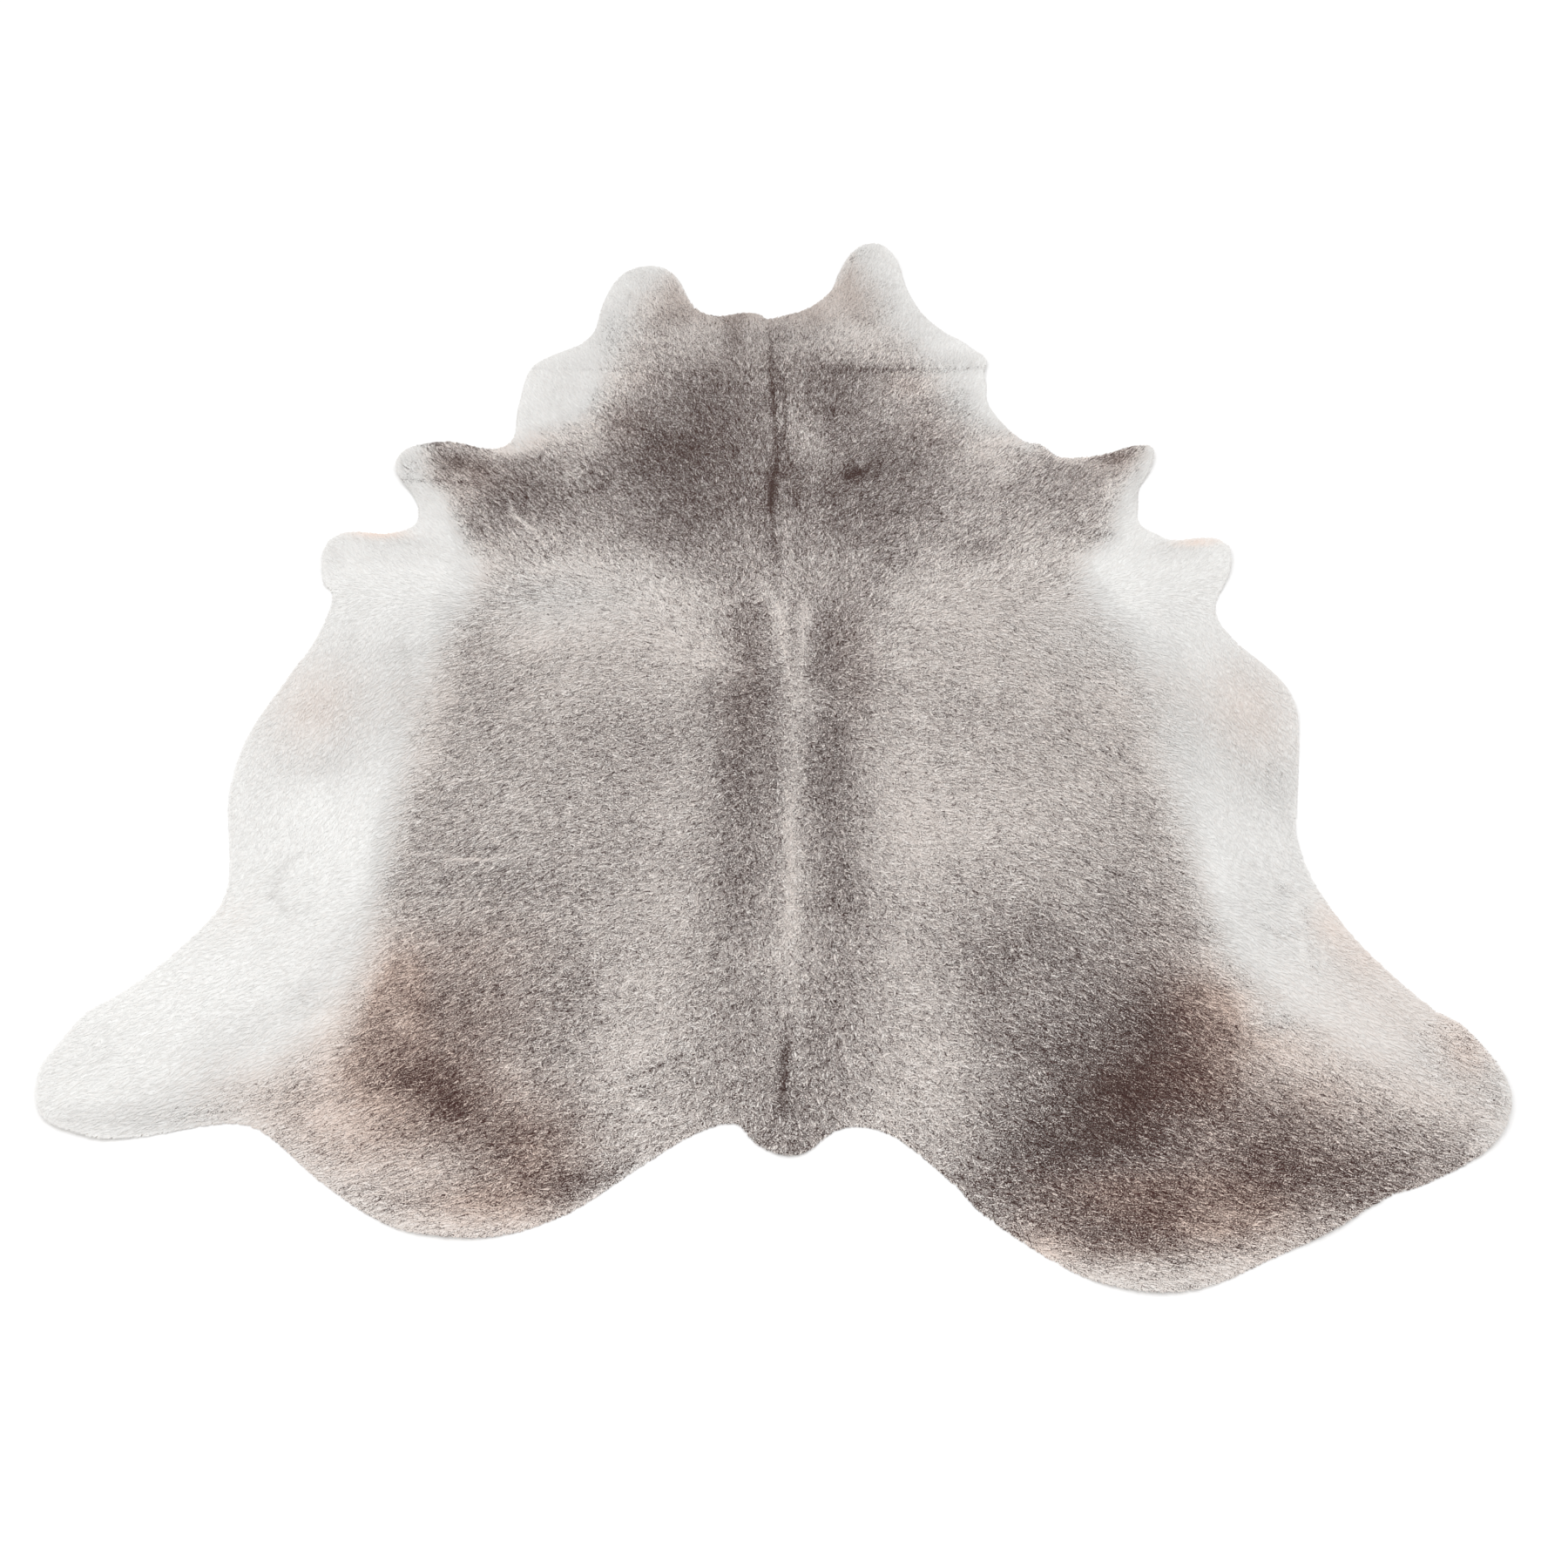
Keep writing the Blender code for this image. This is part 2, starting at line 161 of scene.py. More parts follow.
# Soft patches of darker or paler hair, with painted sheen on the spine and painted shade at the near edge
# among them.
# Columns: across, along, half across, half along (mm), turn (degrees), change in tone.
PATCHES = (
    # dark bands beside the spine
    (-68, 720, 60, 540, 0, -46), (80, 800, 50, 500, 0, -44), (-60, 1050, 60, 120, 0, -8),
    (80, 970, 50, 110, 0, -8), (125, 1060, 36, 130, 0, -20), (165, 1160, 50, 100, 0, -18),
    (100, 470, 42, 90, 0, -18), (-28, 890, 24, 110, 0, -22), (-120, 880, 50, 50, 0, -16),
    (-18, 720, 15, 90, 0, -18), (46, 720, 17, 90, 0, -18), (135, 920, 34, 60, 0, -14),
    # the pale stripe on the spine, a painted sheen where the hair lies along it
    (10, 470, 15, 230, 0, 30), (-10, 1100, 24, 60, 0, 12),
    # pale fields behind the shoulders
    (-320, 1080, 230, 150, 0, 26), (330, 1120, 260, 160, 0, 16), (-150, 1010, 120, 100, 0, 10),
    (-390, 1205, 150, 50, 0, 18), (-530, 1180, 40, 100, 0, 18), (500, 1040, 80, 120, 0, 14),
    (490, 1240, 70, 60, 0, 16), (350, 1255, 45, 30, 0, -18), (-440, 1015, 60, 60, 0, 12),
    (-590, 1090, 30, 90, 0, -16), (-120, 1190, 60, 50, 0, -12), (210, 1225, 50, 40, 0, -16),
    (555, 1150, 36, 40, 0, -14), (420, 925, 60, 90, 0, 14),
    # middle of the back
    (330, 620, 260, 200, 0, 14), (200, 580, 60, 150, 0, 12), (-170, 420, 50, 70, 0, 14),
    (-230, 780, 130, 80, 0, -10), (-420, 480, 180, 50, 0, -12), (-580, 820, 35, 170, 0, 14),
    (535, 890, 60, 170, 0, 14), (520, 430, 60, 100, 0, -18), (-60, 350, 50, 70, 0, 12),
    (-635, 560, 20, 120, 0, -14),
    # the shoulders
    (-170, 1560, 200, 260, 0, -70), (-180, 1330, 160, 110, 0, -30), (150, 1380, 160, 170, 0, -46),
    (100, 1690, 100, 150, 0, -46), (-480, 1400, 150, 120, 20, -46), (480, 1410, 150, 130, 0, -16),
    (50, 1570, 40, 90, 0, 24), (230, 1540, 100, 100, 0, -30), (142, 1466, 50, 36, 25, -38),
    (-120, 1740, 110, 80, 0, -14), (-320, 1730, 60, 110, 10, 24), (-370, 1580, 50, 60, 0, 22),
    (-395, 1455, 28, 50, 0, 18), (-600, 1490, 60, 34, -20, -46), (-695, 1450, 24, 80, 0, -30),
    (-595, 1390, 40, 40, 0, 20), (385, 1520, 60, 70, 0, 26), (600, 1420, 34, 60, 0, 20),
    (620, 1502, 50, 16, 10, -40), (495, 1480, 16, 40, 0, -16), (-270, 1490, 90, 80, 0, -14),
    (-480, 1552, 90, 34, 0, 44), (455, 1548, 60, 26, 0, 34), (540, 1502, 50, 12, 0, 24),
    (-460, 1300, 40, 30, 0, 14), (-665, 1538, 36, 16, 0, -24), (650, 1420, 20, 80, -12, -24),
    # the parting
    (-20, 1760, 26, 150, 0, -20), (0, 1520, 20, 90, 0, -16), (-22, 1400, 24, 80, 0, -24),
    (28, 1430, 22, 80, 0, -26), (-28, 1290, 22, 90, 0, -18), (28, 1270, 16, 90, 0, -12),
    (0, 1465, 30, 30, 0, -22),
    # the neck
    (150, 1880, 90, 80, 0, 20), (-200, 1890, 60, 70, 0, 12), (-98, 1880, 22, 80, 0, -18),
    (-340, 1930, 45, 150, -12, -20), (215, 2010, 55, 160, 14, -20), (330, 1790, 60, 40, 0, -24),
    (345, 1650, 40, 90, 0, -22), (60, 1760, 60, 70, 0, -14), (-265, 1985, 40, 50, 0, 14),
    (-285, 2080, 50, 45, 0, -14), (170, 1770, 60, 16, 0, -24), (160, 2160, 34, 34, 0, -18),
    (-400, 1800, 60, 60, 0, -8), (100, 1980, 40, 60, 0, 12),
    # the flanks
    (-750, 860, 140, 200, 0, -22), (745, 840, 150, 260, 0, -26), (830, 330, 110, 220, 30, -22),
    (970, 160, 80, 100, 0, -38), (700, 430, 60, 120, 0, -6), (-640, 920, 34, 220, 0, -14),
    (655, 800, 34, 260, 0, -10), (790, 690, 50, 90, 0, -14), (-700, 560, 160, 160, 0, 5),
    (-900, 260, 160, 120, 40, 7), (-690, 1268, 90, 24, -10, -12), (710, 1255, 60, 20, 5, -10),
    # the rump, left
    (-500, 100, 120, 50, -32, -50), (-490, 160, 150, 150, 0, -28), (-470, 330, 170, 130, 0, -16),
    (-350, 10, 110, 60, 20, -36), (-300, -42, 90, 28, 15, -44), (-570, -20, 120, 60, 0, 24),
    (-210, 150, 80, 180, 0, 22), (-460, -115, 140, 36, 0, 28), (-655, 150, 46, 120, 0, 30),
    (-600, 370, 34, 90, 0, 20), (-330, 250, 60, 110, 0, -20), (-780, 90, 110, 60, 10, -30),
    # the rump, right
    (490, 130, 130, 190, -30, -85), (360, 0, 110, 110, 0, -42), (360, 310, 140, 150, 0, -34),
    (720, -20, 200, 60, -8, -60), (430, -110, 160, 60, 0, -30), (210, 160, 60, 260, 0, 18),
    (570, 250, 100, 90, 0, -24), (460, -190, 180, 36, 0, 26), (650, 80, 130, 55, -15, -42),
    (610, -75, 150, 45, 0, -32), (270, -40, 50, 50, 0, -22), (735, 170, 90, 50, -20, 34),
    (920, 80, 110, 36, -20, 26), (640, 320, 26, 60, 0, 18), (350, 190, 60, 60, 0, -20),
    (500, -40, 50, 130, 0, -26), (350, -148, 40, 26, -30, 28), (620, -165, 90, 22, 15, 20),
    (705, 290, 34, 90, 25, -14), (1010, 120, 30, 60, 0, -14),
    # the tail
    (0, 90, 70, 110, 0, -28), (0, 130, 12, 80, 0, -26), (60, 210, 50, 90, 0, -16), (150, 60, 40, 30, 0, 12),
    # smaller touches on the neck
    (-100, 1880, 30, 90, 0, -18), (0, 1880, 110, 70, 0, -12), (-350, 1870, 40, 80, 0, -16),
    (-100, 1955, 25, 20, 0, -18), (60, 1930, 25, 40, 0, -12), (175, 1925, 25, 25, 0, -10),
    (260, 1940, 40, 30, 0, -8), (290, 1880, 50, 60, 0, -12), (330, 1700, 50, 80, 0, -12),
    (305, 1660, 20, 35, 0, -12), (385, 1600, 30, 50, 0, -14), (-430, 1700, 70, 120, 0, -12),
    (-490, 1620, 20, 40, 0, -10), (-310, 1600, 30, 25, 0, -18), (-280, 2030, 70, 70, 0, -7),
    (180, 2130, 50, 60, 0, -9), (170, 1750, 35, 15, 0, -12), (290, 1760, 60, 14, 0, -8),
    (-275, 1790, 35, 50, 0, 14), (-230, 1695, 40, 14, 0, 14), (-200, 1605, 35, 30, 0, 20),
    (-150, 1560, 30, 20, 0, 12), (-15, 1700, 22, 40, 0, -18), (-20, 1640, 20, 30, 0, -10),
    # smaller touches on the shoulders and front shanks
    (-670, 1540, 50, 15, 0, -14), (-615, 1480, 18, 40, 0, -18), (-560, 1460, 40, 18, -20, -20),
    (-660, 1400, 35, 60, 0, -12), (-720, 1270, 110, 25, 0, -9), (-570, 1220, 30, 90, 0, -12),
    (-520, 1310, 50, 20, 0, -10), (-800, 1230, 25, 50, 0, -10), (-380, 1310, 25, 20, 0, -12),
    (-430, 1230, 50, 25, 0, -12), (-340, 1450, 30, 50, 0, -14), (-350, 1410, 30, 15, 0, -8),
    (-165, 1255, 60, 30, 0, -14), (-170, 1200, 30, 30, 0, -8), (-365, 1530, 20, 30, 0, 14),
    (-510, 1530, 35, 18, 0, 22), (-430, 1440, 15, 25, 0, 12), (90, 1560, 40, 90, 0, -16),
    (120, 1450, 30, 25, 0, -24), (90, 1640, 40, 15, 0, -12), (80, 1400, 40, 30, 0, -10),
    (50, 1590, 40, 40, 0, -8), (175, 1270, 35, 20, 0, -12), (215, 1350, 25, 30, 0, -12),
    (270, 1370, 25, 80, 0, -14), (255, 1480, 35, 30, 0, -14), (290, 1540, 25, 20, 0, -12),
    (350, 1485, 60, 12, 0, -8), (345, 1240, 30, 40, 0, -12), (360, 1310, 25, 30, 0, -10),
    (560, 1450, 35, 20, 0, -18), (615, 1400, 20, 70, 0, -14), (600, 1500, 50, 30, 0, -10),
    (575, 1285, 35, 20, 0, -18), (700, 1240, 80, 30, 0, -8), (500, 1250, 40, 40, 0, -7),
    (145, 1485, 12, 20, 0, 14), (215, 1570, 25, 40, 0, 6), (400, 1450, 15, 20, 0, 12),
    (460, 1430, 25, 30, 0, 8), (545, 1345, 15, 20, 0, 12), (480, 1525, 20, 15, 0, 12),
    # smaller touches at the whorl and the spine
    (-20, 1440, 16, 50, 0, -26), (15, 1400, 20, 30, 0, -22), (-55, 1405, 30, 20, 0, -14),
    (-90, 1380, 60, 60, 0, -6), (-15, 1240, 16, 50, 0, -20), (-10, 1560, 14, 80, 0, -12),
    (-45, 1160, 22, 40, 0, 18), (-60, 1120, 60, 25, 0, 14), (-150, 1130, 80, 40, 0, 10),
    (70, 1190, 15, 50, 0, 12), (40, 1080, 14, 50, 0, 14), (-20, 1085, 20, 20, 0, 16),
    (190, 1140, 40, 25, 0, 10), (-500, 1085, 16, 14, 0, 14), (270, 1080, 50, 20, 0, 8),
    (-5, 350, 8, 90, 0, 10), (10, 620, 12, 60, 0, 12),
    # smaller touches on the back
    (-400, 880, 60, 60, 0, 12), (-350, 920, 50, 60, 0, 8), (-240, 890, 60, 50, 0, 8),
    (-100, 960, 40, 60, 0, 12), (-150, 930, 60, 80, 0, 6), (60, 870, 40, 50, 0, 18),
    (345, 920, 30, 60, 0, 12), (280, 960, 100, 60, 0, 8), (215, 850, 25, 60, 0, 12),
    (430, 860, 25, 40, 0, 12), (560, 880, 35, 50, 0, 8), (590, 750, 30, 100, 0, 10),
    (-555, 910, 18, 40, 0, 12), (-585, 745, 40, 30, 0, 12), (-260, 750, 30, 30, 0, 10),
    (-60, 740, 25, 30, 0, 10), (-190, 640, 60, 70, 0, 10), (-430, 640, 50, 40, 0, 12),
    (-70, 570, 20, 40, 0, 16), (480, 680, 60, 40, 0, 8), (560, 690, 25, 20, 0, 10),
    # smaller touches on the flanks and hind shanks
    (720, 970, 50, 120, 0, 9), (760, 870, 40, 60, 0, 8), (780, 760, 25, 50, 0, 8),
    (-780, 900, 60, 100, 0, 8), (-770, 800, 40, 40, 0, 8), (-760, 640, 60, 60, 0, 6),
    (-780, 210, 120, 50, 20, -8), (-880, 62, 150, 32, 5, -20), (-990, 60, 40, 30, 0, -8),
    (790, 330, 60, 110, 0, 11), (850, 270, 50, 50, 0, 8), (950, 130, 40, 50, 0, 9),
    # smaller touches on the rump
    (-560, 370, 35, 50, 0, 13), (-440, 340, 60, 50, 0, 12), (-350, 270, 60, 60, 0, 8),
    (-610, 290, 20, 30, 0, 13), (-545, 215, 30, 25, 0, 20), (-500, 180, 25, 20, 0, 10),
    (-390, 130, 25, 45, 0, 15), (-640, 60, 50, 30, 0, 15), (-560, 85, 70, 15, 0, 12),
    (-680, 230, 40, 30, 0, 9), (-350, 5, 30, 18, 0, 14), (-605, 490, 16, 40, 0, -16),
    (-595, 220, 15, 30, 0, -18), (-605, 145, 20, 15, 0, -12), (-510, 245, 18, 16, 0, -12),
    (-470, 60, 30, 45, 0, -14), (-520, 20, 40, 20, 0, -8), (-180, 130, 45, 40, 0, -13),
    (-210, 235, 20, 25, 0, -10), (60, 120, 50, 60, 0, -9), (-30, 85, 15, 20, 0, 12),
    (370, 290, 45, 60, 0, 22), (480, 190, 60, 60, 0, 20), (590, 290, 20, 60, 0, 12),
    (650, 260, 50, 25, 0, 15), (660, 110, 60, 40, 0, 12), (490, -30, 30, 40, 0, 13),
    (510, 490, 20, 25, 0, -12), (600, 395, 80, 16, 0, -11), (655, 380, 16, 30, 0, -10),
    (400, 410, 35, 30, 0, -9), (640, 205, 25, 20, 0, -18), (580, 150, 40, 30, 0, -9),
    (760, 170, 20, 20, 0, -10), (430, 20, 50, 35, 0, -11), (220, 220, 40, 30, 0, -8),
    (450, -135, 60, 40, 0, -13), (510, -140, 30, 50, 0, -13), (310, -60, 25, 60, 0, -9),
    (860, 20, 50, 25, 0, -9), (770, -75, 50, 14, 0, -14),
    # last touches all over the hide
    (0, 780, 700, 420, 0, 3), (0, 1500, 650, 330, 0, -3), (-640, 230, 70, 55, -30, 13),
    (-600, 50, 75, 45, 0, 15), (-575, 150, 50, 40, 0, 12), (-545, 210, 32, 32, 0, 11),
    (-620, 330, 32, 65, 0, 8), (-480, -40, 55, 35, 0, 15), (-510, 90, 45, 28, 0, 8),
    (-360, -85, 45, 40, 0, 14), (-410, 140, 32, 32, 0, 12), (-340, 230, 55, 28, 0, 9),
    (-570, 870, 28, 55, 20, 11), (-510, 950, 55, 28, 0, 11), (-570, 720, 65, 50, 0, 7),
    (-510, 690, 45, 22, 0, 8), (-490, 430, 50, 40, 0, 6), (-590, 450, 28, 28, 0, 8),
    (-270, 430, 45, 60, -20, 8), (-215, 480, 32, 32, 0, 9), (-220, 300, 65, 28, 0, 10),
    (-60, 640, 35, 40, 0, 9), (-75, 580, 40, 60, 0, 5), (-50, 455, 25, 25, 0, 15), (-30, 350, 30, 60, 0, 6),
    (20, 130, 50, 40, 0, 12), (150, 105, 28, 32, 0, 9), (90, 850, 22, 35, 0, 14), (100, 930, 20, 40, 0, 11),
    (-90, 960, 55, 24, -30, 8), (200, 740, 75, 80, 0, 5), (-110, 760, 28, 28, 0, 8),
    (220, 960, 35, 40, 0, 8), (330, 1040, 55, 60, 0, 8), (560, 870, 28, 160, 0, 6), (620, 920, 28, 32, 0, 9),
    (20, 780, 14, 60, 0, 8), (290, 590, 40, 50, 0, 5), (350, 230, 28, 36, 0, 15), (410, 240, 22, 40, 0, 13),
    (265, 255, 24, 32, 0, 11), (480, 150, 55, 28, 0, 13), (625, 310, 24, 50, 0, 14),
    (660, 235, 45, 20, 0, 16), (660, 75, 42, 40, 0, 15), (770, 95, 90, 28, 0, 16), (590, 10, 28, 28, 0, 16),
    (740, 0, 45, 32, 0, 12), (170, 350, 22, 50, 0, 10), (660, 500, 50, 60, 0, 8), (490, -80, 32, 40, 0, 10),
    (565, -145, 28, 22, 0, 9), (670, -120, 28, 28, 0, 14), (375, -150, 24, 24, 0, 12),
    (600, -70, 32, 28, 0, 8), (905, 120, 42, 32, 0, 9), (955, 45, 32, 32, 0, 8),
    (-660, 380, 32, 120, -15, -9), (-700, 270, 38, 50, -15, -11), (-650, 990, 65, 28, 0, -8),
    # The patches at (-225, -25), (-290, -65) and (265, -75) darken the near edge: partly the dark cut of the
    # leather, partly painted shade at the edge.
    (-740, 740, 42, 36, 0, -7), (-810, 160, 60, 40, 0, -6), (-225, -25, 38, 26, 35, -26),
    (-290, -65, 55, 22, 15, -20), (0, 10, 60, 26, 0, -12), (265, -75, 36, 30, 0, -17),
    (205, 10, 32, 40, -40, -9), (100, 290, 32, 40, 0, -14), (115, 385, 28, 28, 0, -14),
    (60, 440, 20, 42, -20, -13), (125, 640, 24, 22, 0, -12), (50, 940, 16, 36, 0, -11),
    (-30, 900, 32, 20, 0, -9), (-15, 670, 16, 36, 0, -9), (-200, 110, 36, 30, 0, -9),
    (-120, 125, 26, 30, 0, -12), (-305, 300, 22, 32, 0, -10), (-110, 280, 20, 26, 0, -9),
    (480, 10, 80, 32, 0, -8), (560, 365, 32, 26, 0, -8), (620, -145, 20, 20, 0, -14),
    (920, -10, 26, 22, 0, -12), (990, 195, 22, 24, 0, -14), (795, 580, 14, 90, 0, -8),
    (-215, 1940, 45, 50, 0, -23), (-100, 1930, 42, 32, 0, -14), (-50, 1870, 110, 90, 0, -6),
    (-60, 1810, 60, 22, 0, -9), (170, 1935, 32, 28, 0, -10), (120, 1960, 90, 55, 0, -4),
    (-360, 1950, 40, 60, 0, -7), (110, 2100, 22, 32, 0, -15), (140, 2150, 26, 32, 0, -8),
    (20, 1740, 26, 70, 0, -10), (-110, 1710, 22, 32, 0, -10), (180, 1750, 60, 40, 0, -7),
    (-20, 1650, 15, 28, 0, -14), (50, 1660, 32, 32, 0, -7), (-270, 1650, 36, 26, 0, -8),
    (280, 1640, 32, 50, 0, -10), (-280, 1580, 22, 36, 0, -10), (140, 1570, 40, 40, 0, -5),
    (-35, 1500, 26, 22, 0, -10), (180, 1500, 22, 32, -20, -14), (-60, 1450, 52, 22, 0, -12),
    (30, 1460, 40, 60, 0, -8), (130, 1450, 32, 22, 0, -10), (200, 1440, 40, 26, 0, -7),
    (320, 1400, 26, 36, 0, -12), (-20, 1380, 14, 50, 0, -10), (25, 1350, 17, 46, 0, -13),
    (-370, 1360, 52, 36, 0, -6), (-320, 1330, 18, 22, 0, -10), (-160, 1310, 42, 26, 0, -6),
    (-535, 1340, 22, 52, 0, -9), (-240, 1270, 36, 26, 0, -10), (20, 1250, 30, 42, 0, -8),
    (-10, 1200, 17, 32, 0, -9), (170, 1260, 60, 50, -20, -6), (265, 1275, 26, 22, 0, -10),
    (-690, 1480, 32, 32, 0, -12), (-670, 1535, 26, 16, 0, -15), (-615, 1480, 15, 22, 0, -9),
    (-500, 1485, 52, 17, 0, -11), (-520, 1430, 42, 20, 0, -13), (-700, 1230, 95, 32, 0, -8),
    (580, 1260, 22, 52, 0, -8), (620, 1480, 50, 50, 0, -5), (682, 1500, 12, 32, 0, -14),
    (-380, 1610, 36, 42, 0, 12), (-220, 1620, 32, 32, 0, 11), (-320, 1565, 22, 26, 0, 14),
    (-360, 1520, 32, 32, 0, 12), (-35, 1600, 15, 22, 0, 20), (8, 1585, 14, 22, 0, 12),
    (-525, 1520, 45, 16, 0, 20), (-600, 1435, 28, 16, 0, 17), (-375, 1455, 22, 32, 0, 11),
    (-490, 1335, 17, 17, 0, 12), (-400, 1290, 42, 32, 0, 8), (-540, 1255, 28, 14, 0, 10),
    (0, 1420, 12, 14, 0, 18), (140, 1480, 14, 14, 0, 16), (90, 1460, 14, 32, 0, 11),
    (522, 1495, 18, 16, 0, 18), (405, 1440, 28, 22, 0, 12), (-210, 1775, 32, 16, 0, 14),
    (205, 1815, 32, 16, 0, 10), (330, 1595, 22, 22, 0, 12), (-270, 1865, 22, 32, 0, 8),
    (75, 1160, 32, 32, 0, 12), (60, 1090, 32, 50, 0, 8), (-30, 1050, 50, 26, 0, 9),
    (-230, 1150, 52, 32, 0, 8), (-450, 1090, 42, 26, 0, 7), (-410, 1020, 26, 22, 0, 9),
    (-320, 1050, 42, 26, 0, 5), (-20, 1110, 200, 110, 0, -11), (-100, 1030, 30, 70, 0, -10),
    (5, 1140, 20, 40, 0, -10), (140, 870, 28, 70, 0, -12), (125, 800, 24, 40, 0, -8),
    (-430, 1080, 110, 90, 0, 7), (480, 1110, 110, 120, 0, 7), (380, 1440, 110, 110, 0, 6),
    (470, 1500, 30, 40, 20, 10), (560, 1498, 45, 15, 0, 16), (-520, 1510, 45, 14, 0, 14),
    (-380, 1645, 50, 42, 0, 8), (-80, 1910, 42, 40, 0, 11), (15, 1840, 14, 35, 0, 14),
    (-20, 1800, 50, 22, 0, -12), (-60, 1670, 22, 55, 0, -10), (5, 1700, 20, 20, 0, -10),
    (145, 1480, 18, 18, 0, 12), (-595, 1535, 20, 14, 0, -14), (-350, 1790, 45, 45, 0, -7),
    (-250, 680, 60, 130, 0, -7), (-225, 590, 30, 20, 0, -10), (-18, 620, 14, 90, 0, -9),
    (60, 640, 40, 60, 0, -7), (125, 620, 22, 55, 0, -8), (300, 500, 60, 30, 0, -9),
    (410, 380, 34, 50, 0, -9), (300, 335, 45, 20, 0, -10), (820, 290, 110, 130, -35, -7),
    (765, 195, 40, 60, 0, -11), (-50, 260, 18, 40, 0, -12), (40, 30, 60, 24, 20, -12),
    (-325, 95, 36, 34, 0, -12), (310, 90, 26, 60, 0, -9), (400, -15, 34, 20, 0, -12),
    (225, -50, 30, 70, 40, -8), (-560, 330, 50, 50, 0, 10), (-600, 250, 34, 45, 0, 9),
    (-620, 130, 28, 40, 0, 14), (-555, 80, 70, 50, 0, 15), (-620, 30, 40, 22, 0, 11),
    (-310, 0, 60, 60, 0, 11), (-240, -20, 60, 28, 30, 10), (-440, -80, 30, 26, 0, 12),
    (-820, 80, 70, 18, 0, 10), (-990, 90, 60, 50, 0, 6), (650, 235, 45, 35, -20, 14),
    (580, 270, 30, 24, 0, 10), (590, -105, 34, 34, 0, 13), (730, -40, 40, 24, 0, 11),
    (480, -175, 34, 20, 0, 10), (-780, 880, 34, 60, 0, -6), (-690, 250, 34, 34, 0, -9),
    (-600, 890, 26, 60, 0, -8), (10, 1060, 26, 110, 0, 7), (-52, 1060, 26, 100, 0, -12),
    (64, 1060, 20, 100, 0, -12),
)

# Darker or paler lines: the parting and the scars in the hair's own colour, and painted shade along the
# folds, creases
# and wrinkles. Columns: from and to (across, along), half width (mm), change in tone.
HAIR_AND_SHADE_LINES = (
    # The fold across the neck and the creases in the left shank and lobe, as painted shade along them.
    (-500, 1770, -330, 1768, 5, -16), (-330, 1768, -30, 1764, 8, -14), (-30, 1764, 200, 1766, 8, -13),
    (200, 1766, 390, 1769, 7, -26), (-705, 1431, -590, 1432, 6, -28), (-600, 1430, -555, 1426, 5, -45),
    (-640, 1234, -590, 1216, 4, -14),
    # The parting down the neck and over the shoulders, the dark whorl to its right, and the two pale lines
    # at the withers with a dark one between them.
    (-28, 1905, -24, 1770, 3.5, -26), (-24, 1770, -22, 1700, 4, -40), (-22, 1700, -16, 1580, 4, -44),
    (-16, 1580, -13, 1494, 4, -40), (-13, 1494, -24, 1420, 6, -30), (-24, 1420, -24, 1355, 7, -40),
    (-22, 1350, -15, 1210, 4, -28), (6, 1225, 0, 1150, 6, 16), (-31, 1157, -8, 1095, 7, 20),
    (-8, 1095, 0, 988, 7, 24), (0, 988, 20, 850, 7, 16), (38, 1117, 31, 988, 8, 22),
    (31, 988, 28, 871, 7, 14), (17, 1132, 15, 952, 4, -16),
    (0, 1711, 5, 1636, 4, -30), (5, 1636, 0, 1563, 4, -30), (0, 1563, 13, 1469, 7, -16),
    (13, 1690, 8, 1580, 6, 22), (-8, 1700, -6, 1600, 4, 16), (118, 1448, 138, 1462, 9, -24),
    (150, 1478, 168, 1492, 6, -22),
    # Scars where the hair grew back pale, and the line above the first of them.
    (-528, 529, -452, 527, 5, 46), (-575, 540, -538, 536, 4, 30), (-430, 536, -405, 532, 4, 16),
    (-572, 553, -450, 551, 5, -18), (-590, 447, -455, 449, 4, 24), (-590, 456, -455, 457, 4, -12),
    (-497, 1362, -493, 1340, 5, 40), (-493, 1340, -469, 1318, 5, 46), (-465, 1310, -450, 1303, 5, 40),
    # Wrinkles beside the tail as painted shade, and the dark line down to the tail.
    (-228, 125, -200, 131, 4, -42), (-200, 131, -178, 147, 4, -52), (-178, 147, -150, 160, 5, -40),
    (-150, 160, -120, 163, 5, -22), (-214, 92, -180, 99, 4, -26), (-152, 140, -128, 115, 4, -20),
    (-205, 118, -160, 133, 8, 10), (4, 225, 5, 180, 5, -30), (5, 180, 2, 130, 5, -46),
    (2, 130, -6, 65, 5, -40), (-16, 190, -14, 90, 6, 10),
    # Painted shade along the skin folds in the white of the right and left flank, with a painted highlight
    # on the lit side of the first.
    (783, 450, 779, 330, 9, 8), (794, 445, 789, 315, 5, -17), (765, 470, 771, 472, 9, -28),
    (725, 400, 748, 384, 9, -12), (748, 384, 774, 392, 9, -10), (-750, 542, -783, 510, 10, -8),
    (-783, 510, -786, 460, 11, -10), (-786, 460, -760, 428, 10, -9), (-760, 428, -725, 432, 10, -6),
)

# Where the coat is plain and even, with few dark hairs. Columns: across, along, half across, half along
# (mm), turn (degrees), how plain (0 to 1).
PLAIN_PATCHES = (
    (0, 2040, 460, 220, 0, 1.2), (-640, 1470, 160, 80, 0, 0.4), (660, 1470, 160, 80, 0, 0.4),
)

